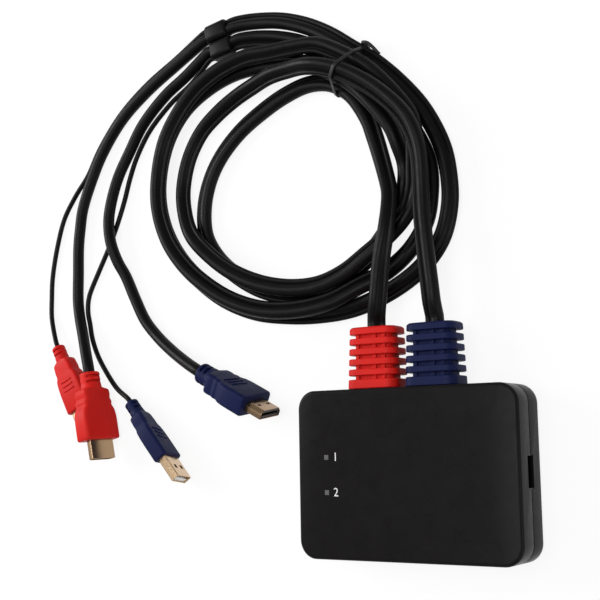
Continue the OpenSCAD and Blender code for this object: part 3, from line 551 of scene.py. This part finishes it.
# ---------------------------------------------------------------- strain reliefs

BACK_Y = 35.0
RELIEF_W, RELIEF_H, RELIEF_R, TAPER = 23.6, 16.0, 4.5, 1.6
FLANGES, FLANGE_T, PITCH = 6, 2.6, 4.3
# The first flange stands this far off the case and is this much thicker
RELIEF_GAP, BASE_EXTRA = 0.2, 1.2
FLANGE_EDGE = 0.25
GROOVE_DEPTH = 2.5
# Right behind a flange its groove is this much shallower, and is fully deep after this length
ROOT_DIP, ROOT_LEN = 0.3, 0.25
POST_X, POST_W, POST_BEVEL, POST_SINK = (-6.4, 1.6, 5.9), 1.7, 0.2, 0.15
# Past the last flange: distance and inset of the rings that close the sleeve round the cord
SLEEVE_END = ((0.4, 0.6), (0.5, 0.8), (0.5, 4.2))


def flange_end(i):
    return RELIEF_GAP + BASE_EXTRA + i * PITCH + FLANGE_T


RELIEF_LEN = flange_end(FLANGES - 1)


def relief_ring(s, inset):
    shrink = TAPER * s / RELIEF_LEN
    width = RELIEF_W - shrink - 2 * inset
    height = RELIEF_H - shrink - 2 * inset
    return [(x, BACK_Y + s, -z) for x, z in outline(width, height, RELIEF_R - inset * 0.5)]


def relief_profile():
    """Distance from the case and inset of each ring."""
    profile = [(0, GROOVE_DEPTH)]
    for i in range(FLANGES):
        far = flange_end(i)
        near = far - FLANGE_T - (0 if i else BASE_EXTRA)
        profile += [(near, GROOVE_DEPTH), (near, FLANGE_EDGE), (near + FLANGE_EDGE, 0),
                    (far - FLANGE_EDGE, 0), (far, FLANGE_EDGE)]
        if i < FLANGES - 1:
            profile += [(far, GROOVE_DEPTH - ROOT_DIP), (far + ROOT_LEN, GROOVE_DEPTH)]
    return profile + [(RELIEF_LEN + s, inset) for s, inset in SLEEVE_END]


def strain_relief(colour):
    """Six flanges on a core, with short posts in the grooves of the wide sides."""
    centre = Vector((RELIEF_X[colour], 0, PORT_Z))
    rings = [[(Vector(p) + centre) * MM for p in relief_ring(s, inset)] for s, inset in relief_profile()]
    parts = [loft(f"{colour}_relief_body", rings, sharp=35)]
    post = (POST_W, PITCH - FLANGE_T + 2 * POST_SINK, POST_W)
    for i in range(FLANGES - 1):
        middle = flange_end(i) + (PITCH - FLANGE_T) / 2
        half = (RELIEF_H - TAPER * middle / RELIEF_LEN) / 2 - GROOVE_DEPTH
        for x in POST_X:
            for z in (half, -half):
                at = centre + Vector((x, BACK_Y + middle, z))
                parts.append(block("post", post, at, POST_BEVEL, 2))
    piece = join(f"{colour}_relief_sleeve", parts)
    return finish_piece(piece, f"{colour}_rubber", [f"{colour}_strain_relief"])


reliefs = {colour: strain_relief(colour) for colour in ("red", "blue")}


# ---------------------------------------------------------------- collars

COLLAR_W, COLLAR_H, COLLAR_R = THICK + THIN + 0.8, THICK + 1.3, 2.6
# Distance from the collar's end and inset of each ring there
COLLAR_END = [(0, 1.0), (0.15, 0.6), (0.6, 0.15), (1.2, 0)]


def collar(colour):
    (x0, y0), (x1, y1) = SPLITS[colour]
    length = math.hypot(x1 - x0, y1 - y0)
    rings = []
    for s, inset in COLLAR_END + [(length - s, inset) for s, inset in reversed(COLLAR_END)]:
        flat = outline(COLLAR_W - 2 * inset, COLLAR_H - 2 * inset, COLLAR_R - inset * 0.5, 6)
        rings.append([Vector((s, y, z)) * MM for y, z in flat])
    piece = loft(f"{colour}_cord_collar", rings, sharp=50)
    turn = Matrix.Rotation(math.atan2(y1 - y0, x1 - x0), 4, "Z")
    place(piece, Matrix.Translation(Vector((x0, y0, COLLAR_H / 2 + ON_TABLE)) * MM) @ turn)
    return finish_piece(piece, "cord_black", [f"{colour}_collar"])


collars = {colour: collar(colour) for colour in ("red", "blue")}


# ---------------------------------------------------------------- plugs

# Slots in the neck: near end, far end and depth
HDMI_SLOTS = [(1.6, 2.7, 1.5), (4.3, 5.4, 1.5)]
USB_SLOTS = [(1.6, 2.5, 1.1), (4.2, 5.1, 1.1)]
HDMI_NECK, USB_NECK, NECK_LEN, NECK_FLARE = 9.9, 6.8, 7.6, 0.3
# Distance from the neck's end, and how much thinner the neck is there
NECK_END = ((0, 0.9), (0.25, 0.3), (0.7, 0))
# A slot's walls go down over this length
SLOT_WALL = 0.05
# A slot starts at this share of the neck's half thickness and is fully deep after the next
SLOT_START, SLOT_RAMP = 0.45, 0.25


def plug_matrix(name):
    at, heading, roll = PLUGS[name]
    return (Matrix.Translation(Vector(at) * MM) @ Matrix.Rotation(math.radians(heading), 4, "Z")
            @ Matrix.Rotation(math.radians(roll), 4, "X"))


def slot_depth(s, slots):
    slack = SLOT_WALL / 2
    return max((depth for near, far, depth in slots if near - slack <= s <= far + slack), default=0)


def plug_rings(profile, slots):
    """Rings from (s, width, thickness, radius). Slots are cut on the wide sides of the round neck."""
    rings = []
    for s, width, thick, radius in profile:
        depth = slot_depth(s, slots)
        ring = []
        for y, z in outline(width, thick, radius, 10):
            reach = max(0.0, abs(z) / (thick / 2) - SLOT_START) / SLOT_RAMP
            pull = 1 - depth * min(1.0, reach) / (thick / 2)
            ring.append(Vector((s, y * pull, z * pull)) * MM)
        rings.append(ring)
    return rings


def neck(diameter, slots):
    """Round neck with crescent slots, as ring profile entries."""
    marks = [(s, diameter - loss) for s, loss in NECK_END]
    for near, far, _ in slots:
        marks += [(s, diameter) for s in (near - SLOT_WALL, near, far, far + SLOT_WALL)]
    marks.append((NECK_LEN, diameter + NECK_FLARE))
    return [(s, d, d, diameter / 2) for s, d in marks]


def hdmi_profile():
    w, t = HDMI_W, HDMI_T
    return neck(HDMI_NECK, HDMI_SLOTS) + [
        (8.1, 10.9, t - 0.2, 4.6), (8.7, 13.6, t - 0.2, 3.4),
        (9.3, 15.2, t - 0.1, 2.2), (10.2, 15.6, t - 0.1, 1.9),
        (12.0, 15.8, t - 0.1, 1.9), (13.0, 15.2, t - 0.1, 1.9), (13.9, 15.3, t - 0.1, 1.9),
        (14.8, 16.3, t - 0.1, 1.9), (15.6, 16.7, t - 0.1, 1.9), (16.5, 16.2, t - 0.1, 1.9),
        (17.3, 16.4, t - 0.1, 1.9), (18.3, 17.7, t - 0.1, 1.9), (19.8, 19.1, t, 1.9),
        (22.4, w - 0.2, t, 1.9), (25.2, w, t, 1.9), (HDMI_LEN - 0.9, w, t, 1.9),
        (HDMI_LEN - 0.35, w - 0.3, t - 0.3, 1.8), (HDMI_LEN, w - 1.0, t - 1.0, 1.5),
    ]


def usb_profile():
    w, t = USB_W, USB_T
    return neck(USB_NECK, USB_SLOTS) + [
        (8.0, 7.6, 6.8, 3.2), (8.6, 9.7, 7.0, 2.4),
        (9.2, 10.7, t - 0.4, 1.8), (10.2, 11.1, t - 0.3, 1.6),
        (13.5, 11.9, t - 0.2, 1.6), (15.0, 11.7, t - 0.2, 1.6), (16.2, 12.3, t - 0.2, 1.6),
        (17.4, 13.9, t - 0.1, 1.6), (19.0, 14.7, t - 0.1, 1.6), (21.5, w - 0.4, t, 1.6), (25.0, w, t, 1.6),
        (USB_LEN - 0.8, w, t, 1.6), (USB_LEN - 0.3, w - 0.3, t - 0.3, 1.5), (USB_LEN, w - 0.9, t - 0.9, 1.3),
    ]


BARS, BAR_PITCH, BAR_W, BAR_BEVEL, BAR_SLANT = 3, 2.5, 0.9, 0.25, 6
# Place of the first bar, its length and the face that it stands on
HDMI_BARS = (17.6, 9.6, -1)
USB_BARS = (20.0, 7.4, 1)


def grip_bars(thick, first, reach, face):
    """Raised slanting bars where a thumb presses."""
    turn = Matrix.Rotation(math.radians(-BAR_SLANT * face), 4, "Z")
    bars = []
    for i in range(BARS):
        bar = block("bar", (BAR_W, reach, BAR_W), (0, 0, 0), BAR_BEVEL, 2)
        at = Vector((first + BAR_PITCH * i, 0, face * thick / 2)) * MM
        bars.append(place(bar, Matrix.Translation(at) @ turn))
    return bars


def plug_body(name):
    colour, kind = name.split("_")
    if kind == "hdmi":
        rings, bars = plug_rings(hdmi_profile(), HDMI_SLOTS), (HDMI_T, *HDMI_BARS)
    else:
        rings, bars = plug_rings(usb_profile(), USB_SLOTS), (USB_T, *USB_BARS)
    body = loft("plug_body", rings, sharp=38)
    piece = join(f"{name}_overmould", [body] + grip_bars(*bars))
    place(piece, plug_matrix(name))
    return finish_piece(piece, f"{colour}_rubber", [f"{name}_plug"])


HDMI_CORNER = 0.36
BEND_STEPS = 4


def hdmi_outline(width, height, radius):
    """Bar with two cut lower corners, its bends softened."""
    c = height * HDMI_CORNER
    corners = [(-width / 2, height / 2), (-width / 2, c - height / 2), (c - width / 2, -height / 2),
               (width / 2 - c, -height / 2), (width / 2, c - height / 2), (width / 2, height / 2)]
    points = []
    for i, corner in enumerate(corners):
        p = Vector(corner)
        before = (Vector(corners[i - 1]) - p).normalized()
        after = (Vector(corners[(i + 1) % 6]) - p).normalized()
        for k in range(BEND_STEPS + 1):
            t = k / BEND_STEPS
            points.append(tuple(p + radius * ((1 - t) ** 2 * before + t * t * after)))
    return points


SHEET_T = 0.35
# Depth of a sheet tip's rolled lip, and the thickness of the floor that closes its near end
SHEET_LIP, SHEET_FLOOR = 0.15, 0.5
# Sheet tips: width and height, then the latch holes' size, their distance from the overmould and places
HDMI_SHEET = (13.9, 4.45)
HDMI_LATCH = ((1.3, 2.3, 0.8), 4.6, (-3.1, 3.1))
USB_SHEET = (12.0, 4.5)
USB_LATCH = ((2.2, 2.2, 0.9), 6.5, (-2.6, 2.6))
# Inserts start this far from the overmould, and end this far from the mouth
INSERT_BACK, HDMI_INSERT_FRONT, USB_INSERT_FRONT = 0.6, 0.5, 0.8
HDMI_INSERT = (13.1, 3.65)
USB_INSERT_T, USB_INSERT_GAP, USB_INSERT_BEVEL = 1.85, 0.025, 0.12
# In the HDMI insert: size, how far the middle lies behind the insert's front, and height
HDMI_SLOT, HDMI_SLOT_MIDDLE, HDMI_SLOT_Z = (8, 11.4, 1.5), 1.5, 0.1
CONTACTS, CONTACT, CONTACT_MIDDLE, CONTACT_Z = 10, (5, 0.4, 0.16), 3, (0.82, -0.62)


def shell_tube(name, outer, inner, near, far):
    """Thin shell open at its far end: outer skin, rolled lip, inner skin down to a floor."""
    def ring(flat, s):
        return [Vector((s, y, z)) * MM for y, z in flat]
    middle = [((a[0] + b[0]) / 2, (a[1] + b[1]) / 2) for a, b in zip(outer, inner)]
    return loft(name, [ring(outer, near), ring(outer, far - SHEET_LIP), ring(middle, far),
                       ring(inner, far - SHEET_LIP), ring(inner, near + SHEET_FLOOR)])


def sheet_tip(name, outer, inner, near, tip, latch, face):
    """Metal tip of a plug, with the latch holes in one face."""
    size, along, places = latch
    shell = shell_tube("tip", outer, inner, near, near + tip)
    piece = cut(shell, [block("hole", size, (near + along, y, face)) for y in places])
    piece.name = f"{name}_sheet_tip"
    return place(piece, plug_matrix(name))


def hdmi_tip(name):
    w, h = HDMI_SHEET
    outer, inner = hdmi_outline(w, h, 0.5), hdmi_outline(w - 2 * SHEET_T, h - 2 * SHEET_T, 0.4)
    piece = sheet_tip(name, outer, inner, HDMI_LEN, HDMI_TIP, HDMI_LATCH, -h / 2)
    return finish_piece(piece, "tip_gold", [f"{name}_tip"])


def hdmi_core(name):
    """Black insert with a slot and two rows of contacts."""
    near, far = HDMI_LEN + INSERT_BACK, HDMI_LEN + HDMI_TIP - HDMI_INSERT_FRONT
    rings = [[Vector((s, y, z)) * MM for y, z in hdmi_outline(*HDMI_INSERT, 0.4)] for s in (near, far)]
    piece = cut(loft("core", rings), [block("slot", HDMI_SLOT, (far - HDMI_SLOT_MIDDLE, 0, HDMI_SLOT_Z))])
    piece.name = f"{name}_insert"
    place(piece, plug_matrix(name))
    contacts = [block("contact", CONTACT, (far - CONTACT_MIDDLE, i - (CONTACTS - 1) / 2, z))
                for i in range(CONTACTS) for z in CONTACT_Z]
    row = place(join(f"{name}_insert_contacts", contacts), plug_matrix(name))
    finish_piece(row, "contact_gold")
    finish_piece(piece, "insulator_black", [f"{name}_core"])
    return [piece, row]


def usb_tip(name):
    w, h = USB_SHEET
    outer, inner = outline(w, h, 0.55, 5), outline(w - 2 * SHEET_T, h - 2 * SHEET_T, 0.3, 5)
    piece = sheet_tip(name, outer, inner, USB_LEN, USB_TIP, USB_LATCH, h / 2)
    finish_piece(piece, "socket_steel", [f"{name}_tip"], "usb_steel")
    length = USB_TIP - INSERT_BACK - USB_INSERT_FRONT
    edge = SHEET_T + USB_INSERT_GAP
    middle = (USB_LEN + INSERT_BACK + length / 2, 0, edge + USB_INSERT_T / 2 - h / 2)
    core = block(f"{name}_insert", (length, w - 2 * edge, USB_INSERT_T), middle, USB_INSERT_BEVEL, 2)
    place(core, plug_matrix(name))
    finish_piece(core, "insulator_white", [f"{name}_core"])
    return [piece, core, frame["nodes"][f"{name}_contacts"]]


for plug in PLUGS:
    if plug.endswith("hdmi"):
        [plug_body(plug), hdmi_tip(plug)] + hdmi_core(plug)
    else:
        [plug_body(plug)] + usb_tip(plug)

for colour in ("red", "blue"):
    piece, path = cords[colour]
    finish_piece(piece, "cord_black", [f"{colour}_cable"])
for lead, (_, _, diameter) in LEADS.items():
    piece, path = cords[lead]
    finish_piece(piece, "cord_black", [f"{lead}_lead_cord"])
    x, y = SPLITS[lead.split("_")[0]][1]


# ---------------------------------------------------------------- case

CASE_W, CASE_D, CASE_H = 100.0, 70.0, 22.0
CORNER_R, RIM_R, WALL, GROOVE = 8.0, 1.4, 2.0, 0.3
# The lid curves down by this much over this width at its two short sides
CROWN_DROP, CROWN_W = 0.9, 13.0
FOOT_X, FOOT_Y, FOOT_H = (-41, 41), (-25, 25), 1.2
FOOT_HOLE_R, FOOT_HOLE_H = 4.85, 1.6
TOP_Z = FOOT_H + CASE_H
SEAM_Z = 11.8
CROWN_START_Z = SEAM_Z + 1
MIN_R = 0.3
FRONT_Y = -35.0
# The hollow's edge at the lid's top and the base's floor
INNER_EDGE = 0.8
# The cutters reach this far past the walls, and the hollows past the seam
PAST = 1
CUT_GAP, CUT_BEVEL = 0.1, 0.25
USB_SHELL_W, USB_SHELL_H = 13.1, 5.7
HDMI_OUT_W, HDMI_OUT_H, HDMI_OUT_X, HDMI_OUT_Z = 15.0, 5.6, 24.0, 11.95
RELIEF_HOLE_W, RELIEF_HOLE_H = 17.1, 10.1
CONSOLE_X = (-12.25, 4.25)
SIDE_USB_Y = 0.5
BUTTON_X, BUTTON_W, BUTTON_H = -32.0, 8.0, 5.0
LIGHT_X, LIGHT_Y, LIGHT_W = -35.5, (7.0, -7.5), 2.0


def crown_drop(x):
    """How far the lid's top curves down towards its two short sides."""
    past = max(0.0, abs(x) - (CASE_W / 2 - CROWN_W)) / CROWN_W
    return CROWN_DROP * past * past


def case_ring(z, inset):
    flat = outline(CASE_W - 2 * inset, CASE_D - 2 * inset, max(CORNER_R - inset, MIN_R), 18)
    share = max(0.0, (z - CROWN_START_Z) / (TOP_Z - CROWN_START_Z))
    return [Vector((x, y, z - share * crown_drop(x))) * MM for x, y in flat]


def wall_cutters():
    """What passes through the upright walls of both covers."""
    deep = 2 * (WALL + PAST)
    usb_w, usb_h = USB_SHELL_W + CUT_GAP, USB_SHELL_H + CUT_GAP
    cuts = [((RELIEF_HOLE_W, deep, RELIEF_HOLE_H), (x, BACK_Y, PORT_Z)) for x in RELIEF_X.values()]
    cuts += [((usb_w, deep, usb_h), (x, FRONT_Y, PORT_Z)) for x in CONSOLE_X]
    cuts += [
        ((HDMI_OUT_W + CUT_GAP, deep, HDMI_OUT_H + CUT_GAP), (HDMI_OUT_X, FRONT_Y, HDMI_OUT_Z)),
        ((deep, usb_w, usb_h), (CASE_W / 2, SIDE_USB_Y, PORT_Z)),
        ((BUTTON_W + 2 * CUT_GAP, deep, BUTTON_H + 2 * CUT_GAP), (BUTTON_X, FRONT_Y, PORT_Z)),
    ]
    return [block("cutter", size, at, CUT_BEVEL, 2) for size, at in cuts]


def arc_rings(low, high, radius, steps=9):
    """Heights and insets of a rounded rim that starts upright at `low` and ends flat at `high`."""
    rings = []
    for i in range(steps + 1):
        a = math.radians(90 * i / steps)
        rings.append((low + (high - low) * math.sin(a), radius * (1 - math.cos(a))))
    return rings


def cover(name, node, outer, inner, extra):
    shell = loft(name, [case_ring(z, inset) for z, inset in outer])
    hollow = loft("hollow", [case_ring(z, inset) for z, inset in inner])
    piece = cut(shell, [hollow] + wall_cutters() + extra)
    piece.name = name
    return finish_piece(piece, "case_black", [node])


# Heights and insets of the case's rings, from the seam up. The base has the same rim and lip, upside down
lip = [(SEAM_Z, GROOVE + 0.05), (SEAM_Z + 0.12, GROOVE * 0.45), (SEAM_Z + GROOVE, 0.04), (SEAM_Z + 0.5, 0)]
rim = arc_rings(TOP_Z - RIM_R, TOP_Z, RIM_R)
crown = [(TOP_Z, inset) for inset in range(2, 14)]
lid_inside = [(SEAM_Z - PAST, WALL), (TOP_Z - WALL - INNER_EDGE, WALL), (TOP_Z - WALL, WALL + INNER_EDGE)]
base_inside = [(FOOT_H + WALL, WALL + INNER_EDGE), (FOOT_H + WALL + INNER_EDGE, WALL), (SEAM_Z + PAST, WALL)]
base_rim = [(FOOT_H + TOP_Z - z, inset) for z, inset in reversed(rim)]
base_lip = [(2 * SEAM_Z - z, inset) for z, inset in reversed(lip)]
light_hole = (LIGHT_W + CUT_GAP, LIGHT_W + CUT_GAP, 2 * (WALL + PAST))
light_cutters = [block("cutter", light_hole, (LIGHT_X, y, TOP_Z)) for y in LIGHT_Y]
cover("case_lid", "top_cover", lip + rim + crown, lid_inside, light_cutters)
feet_cutters = [disc("cutter", FOOT_HOLE_R, FOOT_HOLE_H, (x, y, FOOT_H)) for x in FOOT_X for y in FOOT_Y]
cover("case_base", "bottom_cover", base_rim + base_lip, base_inside, feet_cutters)

# Printed numbers beside the lights
DIGIT_H, DIGIT_T, DIGIT_GAP, DIGIT_LIFT = 5.0, 0.03, 3.2, 0.02
for digit, y in zip("12", LIGHT_Y):
    text = bpy.data.curves.new(f"number_{digit}", "FONT")
    text.body = digit
    text.size = DIGIT_H * MM
    text.extrude = DIGIT_T * MM
    text.align_y = "CENTER"
    text.materials.append(MATERIALS["print_white"])
    label = add_object(f"number_{digit}", text)
    label.location = Vector((LIGHT_X + DIGIT_GAP, y, TOP_Z + DIGIT_LIFT)) * MM
    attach(label, SWITCH)


# ---------------------------------------------------------------- tie

# The tie's own frame: along it, across it and up
TIE_AT, TIE_TURN = (-24.5, 184.5, 0), -130
BAND_W, BAND_T, BAND_GAP = 1.9, 0.5, 0.4
BOW_D, TAIL_D = 1.4, 1.6
BOW = [(-4.3, 0.8, 4.6), (-4.9, 0.0, 5.8), (-5.3, -1.2, 6.2), (-5.2, -2.4, 5.4), (-4.8, -3.2, 4.2),
       (-4.6, -3.5, 3.2)]
TAIL = [(-4.4, -2.2, 4.6), (-5.3, -1.2, 6.4), (-6.0, 1.0, 6.6), (-5.7, 3.6, 5.6), (-5.0, 6.4, 4.6),
        (-4.7, 7.6, 3.8)]
# Cords in the tie's plane: place along the tie, height, side of the thin cord
TIE_CORDS = [(-0.3, 3.8, -1), (8, 3.8, 1), (16.7, 3.8, -1), (3.8, 9.4, 1), (12.4, 9, -1), (10.8, 15.1, 1)]


def band(path):
    """Flat band swept through points."""
    rings = []
    for p, t in zip(path, tangents(path)):
        normal = t.cross(Vector((0, 1, 0))).normalized()
        side = normal.cross(t).normalized()
        rings.append([(p + side * a + normal * b) * MM
                      for a, b in outline(BAND_W, BAND_T, BAND_T * 0.45, 3)])
    return loft("band", rings, sharp=50)


def wire(path, diameter):
    """Round wire swept through points."""
    rings = []
    for p, t in zip(path, tangents(path)):
        side = t.cross(Vector((1, 0, 0))).normalized()
        rings.append([(p + side * a + t.cross(side) * b) * MM for a, b in circle(diameter, 10)])
    return loft("end", rings, sharp=50)


def tie_ring():
    """Closed path round the bundled cords, BAND_GAP outside them."""
    points = []
    for x, z, side in TIE_CORDS:
        for at, diameter in ((x - side * THIN / 2, THICK), (x + side * THICK / 2, THIN)):
            points += [Vector((at + a, z + b)) for a, b in circle(diameter + 2 * BAND_GAP, 24)]
    hull = [points[i] for i in geometry.convex_hull_2d(points)]
    return [Vector((p.x, 0, p.y)) for p in hull + hull[:1]]


def tie():
    """Band with a wire core round the coil, closed by a small bow and a loose end."""
    ends = [wire(smooth_route(BOW, 0.5), BOW_D), wire(smooth_route(TAIL, 0.6), TAIL_D)]
    piece = join("coil_tie", [band(tie_ring())] + ends)
    turn = Matrix.Rotation(math.radians(TIE_TURN), 4, "Z")
    place(piece, Matrix.Translation(Vector(TIE_AT) * MM) @ turn)
    finish_piece(piece, "tie_grey", ["twist_tie"])


tie()


# ---------------------------------------------------------------- floor and light

# In metres, as are the lamps: half the floor's side and the height of the backdrop round it
FLOOR, BACKDROP = 10.0, 1.5
FLOOR_GREY = (0.86, 0.86, 0.86)
# How far the floor glows white to the camera and in reflections. The rest keeps the object's shadow
FLOOR_GLOW = 0.88
AIM = Vector((-0.06, 0.1, 0))
WORLD_LIGHT = 0.35
WHITE = (1, 1, 1, 1)


def floor_material():
    shader = Shader("floor_white", FLOOR_GREY, 0.9)
    nodes, links = shader.nodes, shader.links
    shader.vary_roughness(shader.noise(*FLOOR_GLOSS), 0.85, 0.95)
    glow = shader.node("ShaderNodeEmission", Color=WHITE, Strength=1.0)
    path = nodes.new("ShaderNodeLightPath")
    seen = path.outputs["Is Camera Ray"]
    for ray in ("Is Glossy Ray", "Is Transmission Ray"):
        total = nodes.new("ShaderNodeMath")
        total.operation = "ADD"
        total.use_clamp = True
        links.new(seen, total.inputs[0])
        links.new(path.outputs[ray], total.inputs[1])
        seen = total.outputs["Value"]
    share = nodes.new("ShaderNodeMath")
    share.operation = "MULTIPLY"
    share.inputs[1].default_value = FLOOR_GLOW
    links.new(seen, share.inputs[0])
    mix = nodes.new("ShaderNodeMixShader")
    links.new(share.outputs["Value"], mix.inputs["Fac"])
    links.new(shader.bsdf.outputs["BSDF"], mix.inputs[1])
    links.new(glow.outputs["Emission"], mix.inputs[2])
    links.new(mix.outputs["Shader"], nodes["Material Output"].inputs["Surface"])
    return shader.material


corners = [(-FLOOR, -FLOOR), (FLOOR, -FLOOR), (FLOOR, FLOOR), (-FLOOR, FLOOR)]
walls = [(i, (i + 1) % 4, (i + 1) % 4 + 4, i + 4) for i in range(4)]
floor = mesh_object("floor", [(x, y, z) for z in (0, BACKDROP) for x, y in corners], [(0, 1, 2, 3)] + walls)
floor.data.materials.append(floor_material())


def lamp(name, at, size, power):
    data = bpy.data.lights.new(name, "AREA")
    data.shape = "RECTANGLE"
    data.size, data.size_y = size
    data.energy = power
    obj = add_object(name, data)
    obj.location = at
    obj.rotation_euler = (AIM - Vector(at)).to_track_quat("-Z", "Y").to_euler()


lamp("key", (-1.4, 0.5, 0.85), (0.8, 0.8), 20)
lamp("fill", (1.5, -0.5, 0.6), (1.2, 0.8), 7)
lamp("top", (0.05, 0.15, 1.8), (0.8, 1.2), 18)

world = bpy.data.worlds.new("studio")
bpy.context.scene.world = world
world.use_nodes = True
background = world.node_tree.nodes["Background"]
background.inputs["Color"].default_value = WHITE
background.inputs["Strength"].default_value = WORLD_LIGHT
bpy.context.scene.view_settings.view_transform = "Standard"
